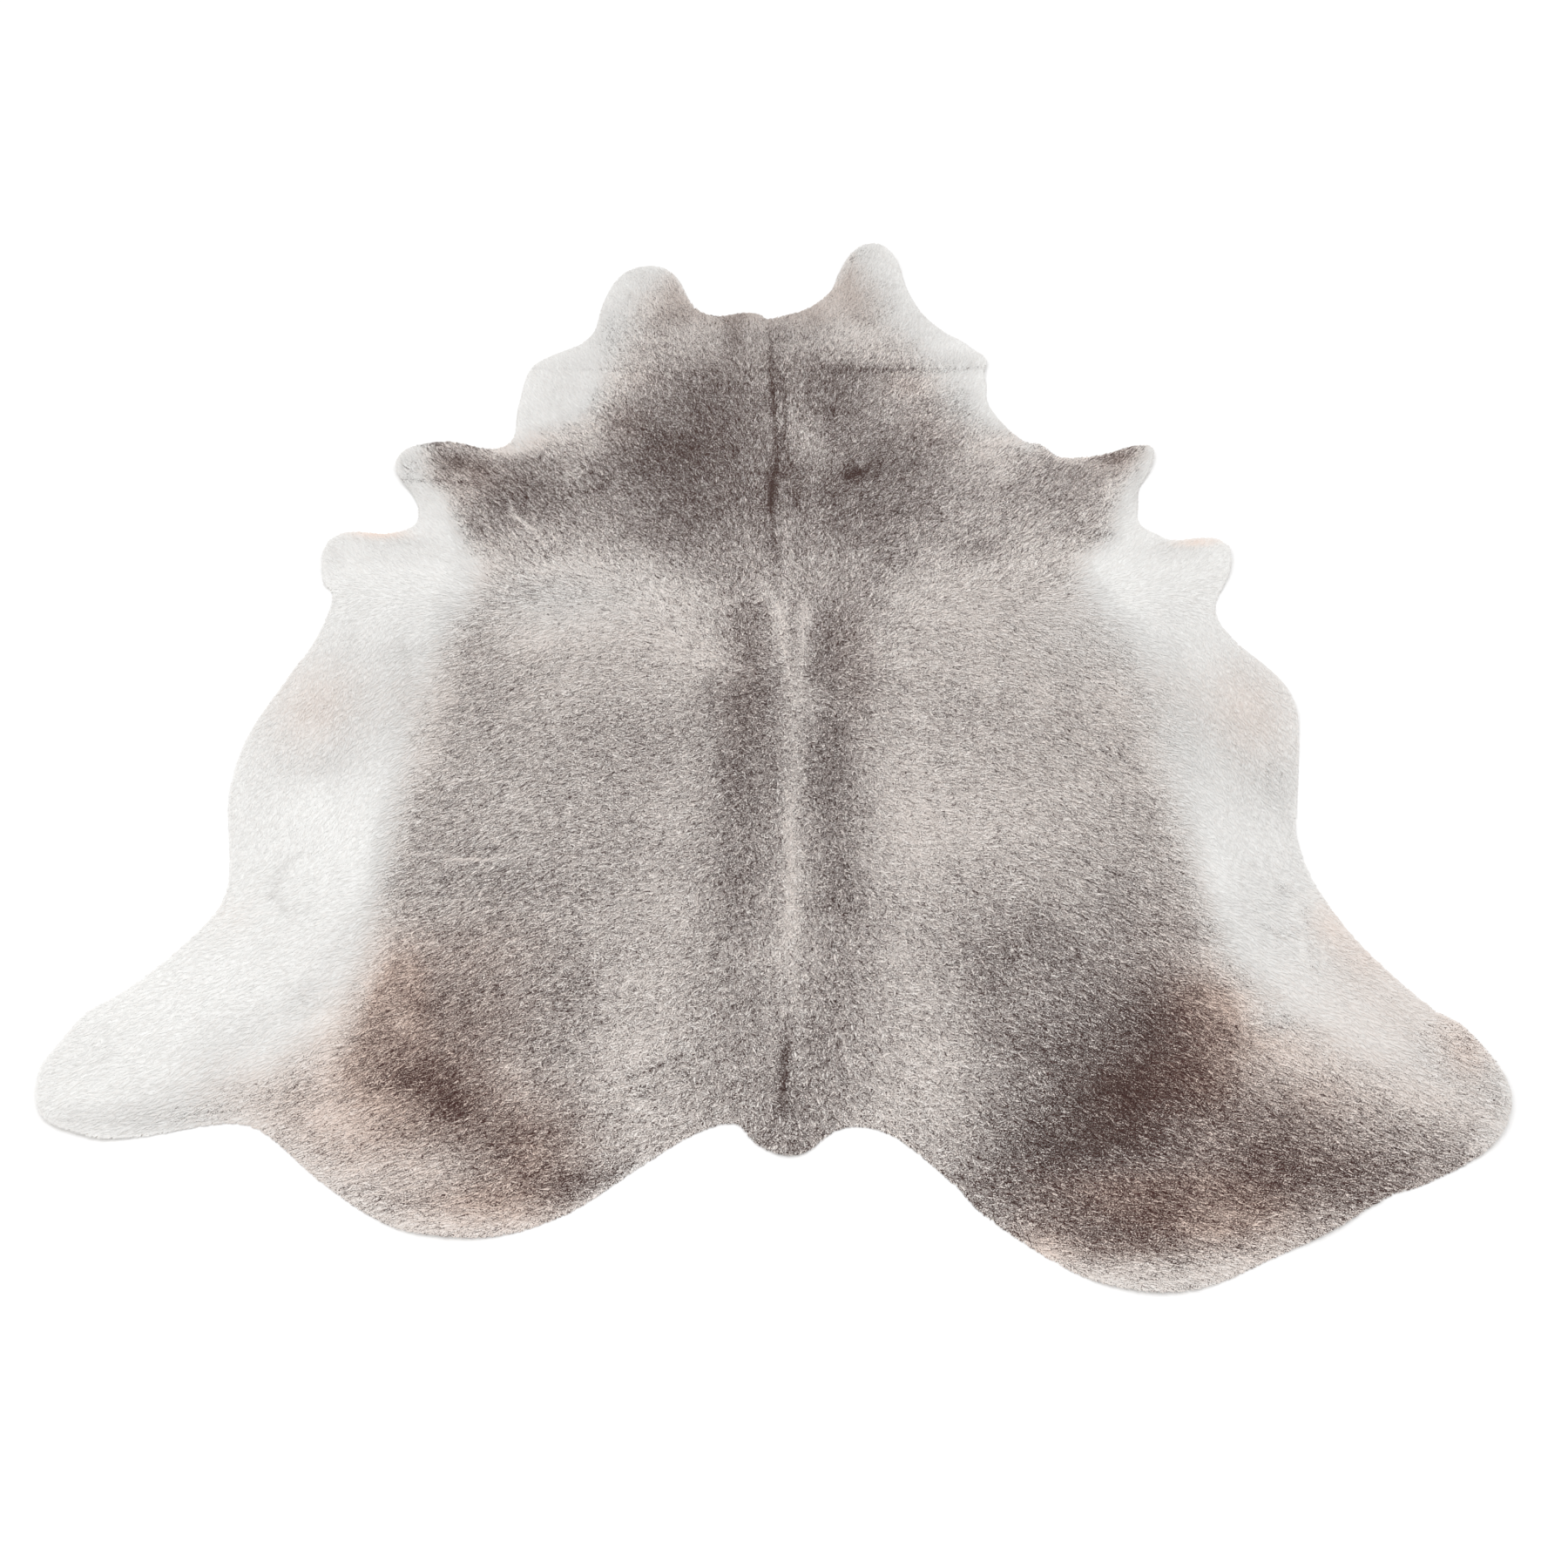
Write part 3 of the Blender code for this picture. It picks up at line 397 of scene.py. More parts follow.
# Soft patches of warmer hair. Columns as above, with the warmth last.
WARM_PATCHES = (
    (-500, 130, 190, 130, -32, 0.55), (-600, 20, 160, 120, 0, 0.14), (-572, 235, 48, 130, 0, 0.9),
    (-480, 330, 150, 120, 0, 0.3), (-420, -80, 130, 50, 0, 0.4), (-560, 30, 150, 80, 0, 0.2),
    (-350, -10, 100, 110, 0, 0.45), (-740, 90, 110, 80, 0, 0.35), (-600, 140, 60, 60, 0, 0.3),
    (640, 230, 150, 90, -20, 0.5), (680, 0, 260, 120, -10, 0.35), (900, 260, 160, 200, 0, 0.28),
    (600, 130, 90, 80, 0, 0.5), (750, 90, 80, 50, 0, 0.2), (500, -90, 160, 60, 0, 0.5),
    (600, -90, 120, 70, 0, 0.5), (350, -130, 60, 50, 0, 0.3), (580, 370, 80, 90, 0, 0.1),
    (500, 110, 100, 110, 0, 0.2), (0, 1890, 300, 80, 0, -0.12), (620, 250, 60, 70, 0, 0.3),
    (-780, 860, 90, 130, 0, 0.33), (770, 850, 90, 150, 0, 0.33), (430, -50, 140, 40, 0, 0.3),
    (450, -150, 120, 30, 0, 0.3), (870, 340, 40, 50, 0, 0.2), (710, 225, 60, 40, 0, -0.3),
    (-420, 230, 120, 50, 0, 0.12), (-70, 900, 50, 220, 0, 0.1), (120, 950, 50, 200, 0, 0.1),
    (-300, 1600, 50, 90, 0, 0.15), (-270, 1740, 50, 40, 0, 0.1), (250, 1720, 60, 50, 0, 0.2),
    (280, 1590, 60, 80, 0, 0.1), (-570, 1440, 60, 80, 0, 0.15), (620, 1500, 60, 40, 0, 0.15),
    (-730, 1290, 60, 18, 0, 0.8), (740, 1265, 50, 15, 0, 0.7), (830, 400, 40, 60, 0, 0.35),
    (985, 170, 50, 80, 0, 0.5), (-400, 1120, 200, 110, 0, -0.2), (530, 1050, 130, 160, 0, -0.15),
    (-400, 1680, 50, 80, 0, -0.2), (460, 1540, 40, 30, 0, -0.2), (-500, 1550, 30, 30, 0, -0.2),
    (-640, 880, 60, 90, 0, 0.1), (660, 900, 50, 90, 0, 0.1), (-840, 420, 50, 50, 0, 0.1),
)

# The ridges that the leather lifts in where it was folded. Columns: from and to (across, along), half width,
# height (mm).
FOLDS = (
    (-560, 1774, -30, 1764, 24, 2.6), (-30, 1764, 450, 1772, 24, 2.6), (-760, 1430, -540, 1424, 18, 2.2),
    (-780, 560, -705, 500, 20, 2.0), (-780, 430, -705, 470, 20, 2.0), (790, 470, 800, 290, 18, 2.4),
    (700, 420, 780, 400, 20, 1.8),
)


def ease(t):
    """0 to 1 with a soft start and a soft end."""
    t = np.clip(t, 0.0, 1.0)
    return t * t * (3.0 - 2.0 * t)


def linear_colour(code):
    """An sRGB hex value as a linear colour with alpha."""
    parts = [int(code[k:k + 2], 16) / 255.0 for k in (1, 3, 5)]
    return tuple(p / 12.92 if p <= 0.04045 else ((p + 0.055) / 1.055) ** 2.4 for p in parts) + (1.0,)


def spine_at(along):
    """Where the spine runs, across, at a place along the hide (mm)."""
    rows = np.array(SPINE, float)
    return np.interp(along, rows[:, 0], rows[:, 1])


def inside_border(across, along, border):
    """1 well inside a soft border, 0.5 on it and 0 well outside."""
    best = np.full(across.shape, 1e18)
    fade = np.ones(across.shape)
    inside = np.zeros(across.shape, bool)
    for (x0, a0, f0), (x1, a1, f1) in zip(border, border[1:] + border[:1]):
        dx, da = x1 - x0, a1 - a0
        t = np.clip(((across - x0) * dx + (along - a0) * da) / (dx * dx + da * da), 0.0, 1.0)
        gap = (across - x0 - t * dx) ** 2 + (along - a0 - t * da) ** 2
        near = gap < best
        best = np.where(near, gap, best)
        fade = np.where(near, f0 + t * (f1 - f0), fade)
        if da:
            inside ^= ((a0 > along) != (a1 > along)) & (across < x0 + (along - a0) / da * dx)
    gap = np.sqrt(best) * np.where(inside, 1.0, -1.0)
    return ease(0.5 + 0.5 * gap / fade)


def soft_patches(across, along, patches):
    """The sum of soft oval patches."""
    total = np.zeros(across.shape)
    for x, a, half_across, half_along, turn, change in patches:
        c, s = math.cos(math.radians(turn)), math.sin(math.radians(turn))
        u = ((across - x) * c + (along - a) * s) / half_across
        v = ((along - a) * c - (across - x) * s) / half_along
        total += change * np.exp(-PATCH_FALL * (u * u + v * v))
    return total


def along_lines(across, along, lines):
    """The sum of soft straight lines, each strongest on its middle."""
    total = np.zeros(across.shape)
    for x0, a0, x1, a1, half, change in lines:
        dx, da = x1 - x0, a1 - a0
        t = np.clip(((across - x0) * dx + (along - a0) * da) / (dx * dx + da * da), 0.0, 1.0)
        away = (across - x0 - t * dx) ** 2 + (along - a0 - t * da) ** 2
        total += change * np.exp(-PATCH_FALL * away / half ** 2)
    return total


def light_of(level):
    """A grey level, 0 to 255, as linear light."""
    return (level / 255.0) ** 2.2


def grey_level(across, along):
    """The coat's tone at each place, with the painted shade and sheen of some lines and patches in it."""
    level = WHITE_LEVEL + (SADDLE_LEVEL - WHITE_LEVEL) * inside_border(across, along, SADDLE)
    level = level + soft_patches(across, along, PATCHES) + along_lines(across, along, HAIR_AND_SHADE_LINES)
    return np.clip(level, DARKEST_TONE, PALEST_TONE)


def flatness(level):
    """How flat the hair lies: 0 on the grey back to 1 in the white."""
    return np.interp(level, (185.0, 228.0), (0.0, 1.0))


def coat_tones(across, along):
    """How far the pale hair is faded from white to greige, and the share of dark hairs, both 0 to 1; painted
    shade and sheen in the tone come through in both.
    """
    level = grey_level(across, along)
    # The pale hair is lighter than the tone, and dark hairs bring it down. Plain hair has few of them.
    mixed = np.maximum(
        level + np.interp(level, (205, 228), (4, 0.3)), np.interp(level, (83, 112), (182, 217)))
    plain = level + np.interp(level, (185, 215), (7, 1))
    even = np.clip(soft_patches(across, along, PLAIN_PATCHES), 0.0, 1.0)
    base = mixed + even * (plain - mixed)
    # Flat hair casts less shade on itself, so it needs more fade to show the same tone.
    shown = 0.9 + 0.18 * flatness(level)
    warm = np.minimum(warmth(across, along), 0.85)
    pale = (light_of(base) / shown - warm * TAN_HAIR) / (1.0 - warm)
    fade = (WHITE_HAIR - pale) / (WHITE_HAIR - GREIGE_HAIR)
    share = (light_of(base) - light_of(level)) / (light_of(base) - light_of(DARK_LEVEL))
    return np.clip(fade, 0.0, 1.0), np.clip(share, 0.0, 0.98)


def streak_limit(share, change):
    """The noise value under which a streak of hair is dark, so that about the given share of streaks is."""
    share = np.clip(share, 0.002, 0.99)
    return 0.5 + STREAK_SPREAD * (np.log(share / (1.0 - share)) + change)


def warmth(across, along):
    """How brown or cream the hair is at each place, 0 to 1."""
    saddle = SADDLE_WARMTH * inside_border(across, along, SADDLE)
    return np.clip(saddle + soft_patches(across, along, WARM_PATCHES), 0.0, 1.0)


def sway(across, along, seed, waves, shortest, longest):
    """A soft wandering value between about -1 and 1, made of a few long waves."""
    rng = np.random.default_rng(seed)
    total = np.zeros(across.shape)
    for _ in range(waves):
        angle = rng.uniform(0.0, 2.0 * math.pi)
        length = rng.uniform(shortest, longest)
        phase = rng.uniform(0.0, 2.0 * math.pi)
        ahead = across * math.cos(angle) + along * math.sin(angle)
        total += np.sin(2.0 * math.pi * ahead / length + phase)
    return total / math.sqrt(waves / 2.0) / 1.8


def hair_way(across, along):
    """Which way the hair lies, as a unit vector: back and outwards on the body, forwards on the neck."""
    side = across - spine_at(along)
    out = np.abs(side)
    back = 43.0 * ease((out - 20.0) / 180.0) + 20.0 * ease((150.0 - along) / 250.0)
    back = back + 24.0 * np.exp(-((out - 270.0) / 90.0) ** 2 - ((along - 680.0) / 330.0) ** 2)
    flank = ease((out - 600.0) / 120.0) * ease((along - 450.0) / 150.0) * ease((1250.0 - along) / 150.0)
    back = back * (1.0 - 0.8 * flank)
    front = 180.0 - 50.0 * ease(out / 180.0) * (1.0 - 0.5 * ease((along - 1400.0) / 500.0))
    # Away from the spine the hair turns round further along.
    later = 170.0 * ease((out - 150.0) / 150.0)
    start, end = TURN_START + later, TURN_END + later
    turn = back + (front - back) * ease((along - start) / (end - start))
    turn = turn + 9.0 * sway(across, along, seed=3, waves=10, shortest=50.0, longest=130.0)
    angle = np.radians(turn)
    # On the spine the hair lies straight, and where it turns round it is tousled.
    sideways = side / np.sqrt(side ** 2 + 15.0 ** 2) * np.sin(angle)
    wander = sway(across, along, seed=8, waves=8, shortest=12.0, longest=30.0)
    onwards = 0.15 * wander - np.cos(angle)
    size = np.hypot(sideways, onwards)
    return sideways / size, onwards / size


def stray(across, along):
    """How far single locks stray from the coat's way, in degrees: most where the hair turns round."""
    out = np.abs(across - spine_at(along))
    middle = 0.5 * (TURN_START + TURN_END)
    whorl = 48.0 * np.exp(-(out / 120.0) ** 2 - ((along - middle) / 120.0) ** 2)
    return 34.0 + whorl - 18.0 * ease((out - 260.0) / 220.0) - 6.0 * ease((along - 1250.0) / 100.0)


def deselect_all():
    """Clears the selection, since an operator acts on all that is selected."""
    if bpy.context.object and bpy.context.object.mode != "OBJECT":
        bpy.ops.object.mode_set(mode="OBJECT")
    bpy.ops.object.select_all(action="DESELECT")


def make_active(piece):
    """Selects one object alone and makes it active."""
    deselect_all()
    piece.select_set(True)
    bpy.context.view_layer.objects.active = piece


def apply_modifier(piece, kind, **settings):
    """Adds a modifier with its settings and applies it."""
    make_active(piece)
    added = piece.modifiers.new(kind.lower(), kind)
    for name, value in settings.items():
        setattr(added, name, value)
    bpy.ops.object.modifier_apply(modifier=added.name)


def add_node(tree, kind, settings=None, values=None, links=None):
    """Adds a node with its settings, its sockets' values and its links, given as input: (node, output)."""
    made = tree.nodes.new(kind)
    for name, value in (settings or {}).items():
        setattr(made, name, value)
    for name, value in (values or {}).items():
        made.inputs[name].default_value = value
    for name, (source, output) in (links or {}).items():
        tree.links.new(source.outputs[output], made.inputs[name])
    return made


def store(mesh, name, kind, values):
    """Writes one value for each vertex of a mesh as a named attribute."""
    field = mesh.attributes.new(name, kind, "POINT")
    key = "vector" if kind == "FLOAT_VECTOR" else "value"
    field.data.foreach_set(key, np.ascontiguousarray(values, np.float32).ravel())


def points_of(mesh):
    """The places of a mesh's vertices."""
    flat = np.empty(len(mesh.vertices) * 3, np.float32)
    mesh.vertices.foreach_get("co", flat)
    return flat.reshape(-1, 3).astype(float)


def on_hide(points):
    """Across and along, in mm, of places in metres."""
    return (points[:, 0] - SPINE_X) / MM, (points[:, 1] - TAIL_Y) / MM


def underside_of(solid):
    """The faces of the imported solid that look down, merged into one sheet."""
    work = bmesh.new()
    work.from_mesh(solid.data)
    bmesh.ops.remove_doubles(work, verts=work.verts, dist=0.00005)
    bmesh.ops.delete(work, geom=[face for face in work.faces if face.normal.z > -0.5], context="FACES")
    return work


def way_out(edge):
    """The level direction that leaves a sheet at its open edge. The sheet faces down."""
    loop = edge.link_loops[0]
    run = loop.link_loop_next.vert.co - loop.vert.co
    return Vector((-run.y, run.x, 0.0)).normalized()


def edge_samples(work, step):
    """Points along a sheet's open edge with their outward directions, level, and a search tree of them."""
    points, outward = [], []
    for edge in work.edges:
        if not edge.is_boundary:
            continue
        a, b = (corner.co for corner in edge.verts)
        out = way_out(edge)
        count = max(1, int(edge.calc_length() / step))
        for k in range(count):
            points.append(a.lerp(b, (k + 0.5) / count))
            outward.append(out)
    tree = KDTree(len(points))
    for k, point in enumerate(points):
        tree.insert((point.x, point.y, 0.0), k)
    tree.balance()
    return np.array(points), np.array(outward), tree


def trim_edge(work, width):
    """Moves a sheet's open edge inwards, level, by a width."""
    moves = {}
    for edge in work.edges:
        if not edge.is_boundary:
            continue
        for corner in edge.verts:
            moves[corner] = moves.get(corner, Vector()) + way_out(edge)
    for corner, out in moves.items():
        corner.co -= out.normalized() * width


def beyond_edge(places, edge):
    """How far each place lies outside the hide's edge, level; less than 0 is inside."""
    points, outward, tree = edge
    nearest = np.array([[found[1] for found in tree.find_n((x, y, 0.0), 4)] for x, y in places])
    away = places[:, None] - points[nearest, :2]
    far = np.linalg.norm(away, axis=2).min(1)
    return np.where((away * outward[nearest, :2]).sum((1, 2)) > 0.0, far, -far)


def heights(places, tree, above=0.2):
    """The height of the first surface under each place; NaN where there is none."""
    down = Vector((0.0, 0.0, -1.0))
    found = [tree.ray_cast(Vector((x, y, above)), down)[0] for x, y in places]
    return np.array([hit.z if hit else math.nan for hit in found])


def staggered_grid(step, row):
    """Places all over the hide's box in rows, each row half a step on from the last."""
    low, high = (np.array(corner[:2]) for corner in CAD_BOX)
    columns = int((high[0] - low[0]) / step)
    rows = int((high[1] - low[1]) / row)
    x, y = np.meshgrid(np.arange(columns) + 0.5, np.arange(rows) + 0.5)
    x = x + 0.5 * (np.arange(rows)[:, None] % 2)
    return np.stack((x.ravel() * step, y.ravel() * row), 1) + low


def even_sheet(mesh, under, step, trim):
    """Fills a mesh with even triangles inside the underside's trimmed edge, as high as the underside."""
    ground = BVHTree.FromBMesh(under)
    trim_edge(under, trim)
    rim = [corner for corner in under.verts if corner.is_boundary]
    number = {corner: k for k, corner in enumerate(rim)}
    links = [tuple(number[corner] for corner in edge.verts) for edge in under.edges if edge.is_boundary]
    edge = edge_samples(under, step / 4.0)
    grid = staggered_grid(step, step * math.sqrt(0.75))
    grid = grid[beyond_edge(grid, edge) < -0.6 * step]
    places = [corner.co.xy for corner in rim] + [Vector(place) for place in grid]
    flat, _, faces = delaunay_2d_cdt(places, links, [], 1, 1e-6, False)[:3]
    flat = np.array([tuple(place) for place in flat])
    faces = np.array([tuple(face) for face in faces])
    sides = np.linalg.norm(flat[faces] - flat[np.roll(faces, 1, 1)], axis=2).max(1)
    faces = faces[(beyond_edge(flat[faces].mean(1), edge) < 0.0) & (sides < 4.0 * step)]
    height = np.array([ground.find_nearest(Vector((x, y, 0.0)))[0].z for x, y in flat])
    across, along = on_hide(flat)
    height += along_lines(across, along, FOLDS) * MM
    mesh.from_pydata(np.column_stack((flat, height)).tolist(), [], faces.tolist())
    mesh.validate()


class LeatherSizes(bpy.types.PropertyGroup):
    """Sizes and colours of the leather."""

    thickness: bpy.props.FloatProperty(
        name="Thickness", description="Thickness of the leather without its hair",
        default=2.1 * MM, min=0.5 * MM, max=5.0 * MM, unit="LENGTH", precision=4)
    trim: bpy.props.FloatProperty(
        name="Trim", description="How far the cut edge lies inside the coat's outline",
        default=2.5 * MM, min=0.0, max=10.0 * MM, unit="LENGTH", precision=4)
    step: bpy.props.FloatProperty(
        name="Step", description="Size of the sheet's triangles",
        default=12.0 * MM, min=8.5 * MM, max=40.0 * MM, unit="LENGTH", precision=4)
    suede: bpy.props.FloatVectorProperty(
        name="Suede", description="Colour of the bare underside", subtype="COLOR", size=4,
        default=linear_colour("#cdc3b4"), min=0.0, max=1.0)


class CoatSizes(bpy.types.PropertyGroup):
    """Sizes and colours of the coat."""

    length: bpy.props.FloatProperty(
        name="Lock length", description="Length of a lock of hair on the back",
        default=15.0 * MM, min=5.0 * MM, max=40.0 * MM, unit="LENGTH", precision=4)
    width: bpy.props.FloatProperty(
        name="Lock width", description="Width of a lock of hair",
        default=2.7 * MM, min=1.0 * MM, max=8.0 * MM, unit="LENGTH", precision=4)
    spacing: bpy.props.FloatProperty(
        name="Lock spacing", description="Distance between the roots of two locks",
        default=3.95 * MM, min=3.5 * MM, max=20.0 * MM, unit="LENGTH", precision=4)
    depth: bpy.props.FloatProperty(
        name="Coat depth", description="Height of the hair tips over the leather on the back",
        default=3.6 * MM, min=1.0 * MM, max=10.0 * MM, unit="LENGTH", precision=4)
    fringe: bpy.props.FloatProperty(
        name="Fringe", description="How far hair may stand out past the outline",
        default=3.0 * MM, min=0.0, max=9.0 * MM, unit="LENGTH", precision=4)
    white: bpy.props.FloatVectorProperty(
        name="White hair", description="Colour of the palest hair", subtype="COLOR", size=4,
        default=linear_colour("#f5f5f3"), min=0.0, max=1.0)
    greige: bpy.props.FloatVectorProperty(
        name="Greige hair", description="Colour that the pale hair fades to in the saddle", subtype="COLOR",
        size=4, default=linear_colour("#a19c99"), min=0.0, max=1.0)
    dark: bpy.props.FloatVectorProperty(
        name="Dark hair", description="Colour of the darkest hair", subtype="COLOR", size=4,
        default=linear_colour("#34211b"), min=0.0, max=1.0)
    tan: bpy.props.FloatVectorProperty(
        name="Tan hair", description="Colour of pale hair where the coat is warm", subtype="COLOR", size=4,
        default=linear_colour("#e2cdc0"), min=0.0, max=1.0)
    brown: bpy.props.FloatVectorProperty(
        name="Brown hair", description="Colour of dark hair where the coat is warm", subtype="COLOR", size=4,
        default=linear_colour("#431f18"), min=0.0, max=1.0)


class StageSizes(bpy.types.PropertyGroup):
    """Sizes and strengths of the floor, light and camera."""

    floor_size: bpy.props.FloatProperty(
        name="Floor size", description="Length of each side of the floor",
        default=60.0, min=4.0, max=90.0, unit="LENGTH")
    floor_colour: bpy.props.FloatVectorProperty(
        name="Floor colour", description="Colour of the floor", subtype="COLOR", size=4,
        default=linear_colour("#fbfbfb"), min=0.0, max=1.0)
    daylight: bpy.props.FloatProperty(
        name="Daylight", description="Strength of the even light from all around",
        default=1.0, min=0.0, max=5.0)
    softbox: bpy.props.FloatProperty(
        name="Soft box power", description="Power of the soft box over the rug, in watts",
        default=64.0, min=0.0, max=5000.0, unit="POWER")
    camera_height: bpy.props.FloatProperty(
        name="Camera height", description="Height of the camera over the floor",
        default=2.5141, min=0.5, max=6.0, unit="LENGTH")
    camera_tilt: bpy.props.FloatProperty(
        name="Camera tilt", description="How far the camera looks down from level",
        default=math.radians(48.366), min=0.1, max=1.57, subtype="ANGLE")
    camera_lens: bpy.props.FloatProperty(
        name="Lens", description="Focal length of the camera",
        default=48.0, min=20.0, max=120.0, subtype="DISTANCE_CAMERA")


def new_material(name, values):
    """A material with its shader's values set, as the material, its nodes and that shader."""
    material = bpy.data.materials.new(name)
    material.use_nodes = True
    shader = material.node_tree.nodes["Principled BSDF"]
    for socket, value in values.items():
        shader.inputs[socket].default_value = value
    return material, material.node_tree, shader


def hair_colours(tree, sizes, share):
    """Adds the nodes that mix the hair's colours by the fade, the share of dark hairs and the warmth."""
    warm_field = add_node(tree, "ShaderNodeAttribute", {"attribute_name": "warm"})
    fade_field = add_node(tree, "ShaderNodeAttribute", {"attribute_name": "fade"})
    warm = (warm_field, "Fac")
    faded = add_node(
        tree, "ShaderNodeMix", {"data_type": "RGBA"}, {MIX_FIRST: sizes.white, MIX_SECOND: sizes.greige},
        {MIX_SHARE: (fade_field, "Fac")})
    pale = add_node(
        tree, "ShaderNodeMix", {"data_type": "RGBA"}, {MIX_SECOND: sizes.tan},
        {MIX_SHARE: warm, MIX_FIRST: (faded, MIX_COLOUR)})
    deep = add_node(
        tree, "ShaderNodeMix", {"data_type": "RGBA"}, {MIX_FIRST: sizes.dark, MIX_SECOND: sizes.brown},
        {MIX_SHARE: warm})
    return add_node(
        tree, "ShaderNodeMix", {"data_type": "RGBA"}, {},
        {MIX_SHARE: share, MIX_FIRST: (pale, MIX_COLOUR), MIX_SECOND: (deep, MIX_COLOUR)})


def cow_hair(sizes):
    """Short cow hair, salt and pepper: fine streaks of pale and dark hair with a soft, low gloss."""
    material, tree, shader = new_material("short cow hair", {
        "Roughness": 0.62, "Specular IOR Level": 0.3, "IOR": 1.55, "Sheen Weight": 0.12,
        "Sheen Roughness": 0.5})
    limit = add_node(tree, "ShaderNodeAttribute", {"attribute_name": "limit"})
    strand = add_node(tree, "ShaderNodeAttribute", {"attribute_name": "strand"})
    # The noise's own size is 1 mm, the width of a streak, so only mm along the lock are scaled.
    stretched = add_node(
        tree, "ShaderNodeVectorMath", {"operation": "MULTIPLY"}, {1: (1.0, 1.0 / STREAK_LENGTH, 1.0)},
        {0: (strand, "Vector")})
    streaks = add_node(
        tree, "ShaderNodeTexNoise", {}, {"Scale": 1.0, "Detail": 1.0, "Roughness": 0.5},
        {"Vector": (stretched, 0)})
    over = add_node(
        tree, "ShaderNodeMath", {"operation": "SUBTRACT"}, {}, {0: (limit, "Fac"), 1: (streaks, "Fac")})
    picked = add_node(
        tree, "ShaderNodeMapRange", {"interpolation_type": "SMOOTHSTEP"},
        {"From Min": -0.02, "From Max": 0.02}, {"Value": (over, 0)})
    colour = hair_colours(tree, sizes, (picked, 0))
    tree.links.new(colour.outputs[MIX_COLOUR], shader.inputs["Base Color"])
    return material


def undercoat_with_painted_shade(sizes):
    """The dense down close to the skin, seen between the locks: the same colours, blended, dull and a little
    darker, as painted shade between the locks.
    """
    material, tree, shader = new_material("short down, painted shade", {"Roughness": 0.85, "Specular IOR Level": 0.15})
    share = add_node(tree, "ShaderNodeAttribute", {"attribute_name": "share"})
    place = add_node(tree, "ShaderNodeTexCoord")
    # Grain of about 2 mm.
    grain = add_node(
        tree, "ShaderNodeTexNoise", {}, {"Scale": 450.0, "Detail": 2.0}, {"Vector": (place, "Object")})
    spread = add_node(
        tree, "ShaderNodeMapRange", {}, {"From Min": 0.3, "From Max": 0.7, "To Min": -0.25, "To Max": 0.25},
        {"Value": (grain, "Fac")})
    # The clamp on the blend makes pale places a little darker: painted shade between the locks.
    mixed = add_node(
        tree, "ShaderNodeMath", {"operation": "ADD", "use_clamp": True}, {},
        {0: (share, "Fac"), 1: (spread, 0)})
    colour = hair_colours(tree, sizes, (mixed, 0))
    tree.links.new(colour.outputs[MIX_COLOUR], shader.inputs["Base Color"])
    return material


def suede_leather(sizes):
    """Chrome-tanned leather with its flesh side out: pale, dull and napped, with soft mottling."""
    material, tree, shader = new_material("suede leather", {
        "Roughness": 0.9, "Specular IOR Level": 0.2, "Sheen Weight": 0.2})
    place = add_node(tree, "ShaderNodeTexCoord")
    # Mottling of about 90 mm, and a nap of about 1.5 mm drawn as coarse as 3 mm so that it shows.
    mottle = add_node(
        tree, "ShaderNodeTexNoise", {}, {"Scale": 11.0, "Detail": 4.0, "Roughness": 0.6},
        {"Vector": (place, "Object")})
    nap = add_node(
        tree, "ShaderNodeTexNoise", {}, {"Scale": 330.0, "Detail": 3.0, "Roughness": 0.6},
        {"Vector": (place, "Object")})
    shade = add_node(
        tree, "ShaderNodeMix", {"data_type": "RGBA"},
        {MIX_FIRST: linear_colour(SUEDE_SHADE), MIX_SECOND: sizes.suede}, {MIX_SHARE: (mottle, "Fac")})
    tone = add_node(
        tree, "ShaderNodeMapRange", {}, {"From Min": 0.3, "From Max": 0.7, "To Min": 0.86, "To Max": 1.08},
        {"Value": (nap, "Fac")})
    napped = add_node(
        tree, "ShaderNodeVectorMath", {"operation": "SCALE"}, {},
        {0: (shade, MIX_COLOUR), "Scale": (tone, 0)})
    tree.links.new(napped.outputs[0], shader.inputs["Base Color"])
    bump = add_node(
        tree, "ShaderNodeBump", {}, {"Strength": 0.5, "Distance": 0.0004}, {"Height": (nap, "Fac")})
    tree.links.new(bump.outputs[0], shader.inputs["Normal"])
    return material


class HIDE_OT_leather(bpy.types.Operator):
    """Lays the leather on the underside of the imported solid, at its own thickness"""

    bl_idname = "cowhide.leather"
    bl_label = "Lay the leather"

    def execute(self, context):
        sizes = context.scene.cowhide_leather
        under = underside_of(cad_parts["hide"])
        leather = bpy.data.objects.new("leather", bpy.data.meshes.new("leather"))
        context.collection.objects.link(leather)
        even_sheet(leather.data, under, sizes.step, sizes.trim)
        under.free()
        make_active(leather)
        bpy.ops.object.mode_set(mode="EDIT")
        bpy.ops.mesh.select_all(action="SELECT")
        bpy.ops.mesh.normals_make_consistent(inside=False)
        bpy.ops.mesh.vertices_smooth(factor=0.5, repeat=4, xaxis=False, yaxis=False)
        bpy.ops.object.mode_set(mode="OBJECT")
        leather.data.materials.append(suede_leather(sizes))
        leather.data.materials.append(undercoat_with_painted_shade(context.scene.cowhide_coat))
        if leather.data.polygons[0].normal.z > 0.0:
            leather.data.flip_normals()
        apply_modifier(
            leather, "SOLIDIFY", thickness=sizes.thickness, offset=-1.0, material_offset=1,
            material_offset_rim=0, use_even_offset=False)
        across, along = on_hide(points_of(leather.data))
        fade, share = coat_tones(across, along)
        store(leather.data, "fade", "FLOAT", fade)
        store(leather.data, "share", "FLOAT", share)
        store(leather.data, "warm", "FLOAT", warmth(across, along))
        bpy.ops.object.shade_smooth_by_angle(angle=math.radians(40.0))
        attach(leather, "root")
        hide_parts("hide")
        return {"FINISHED"}


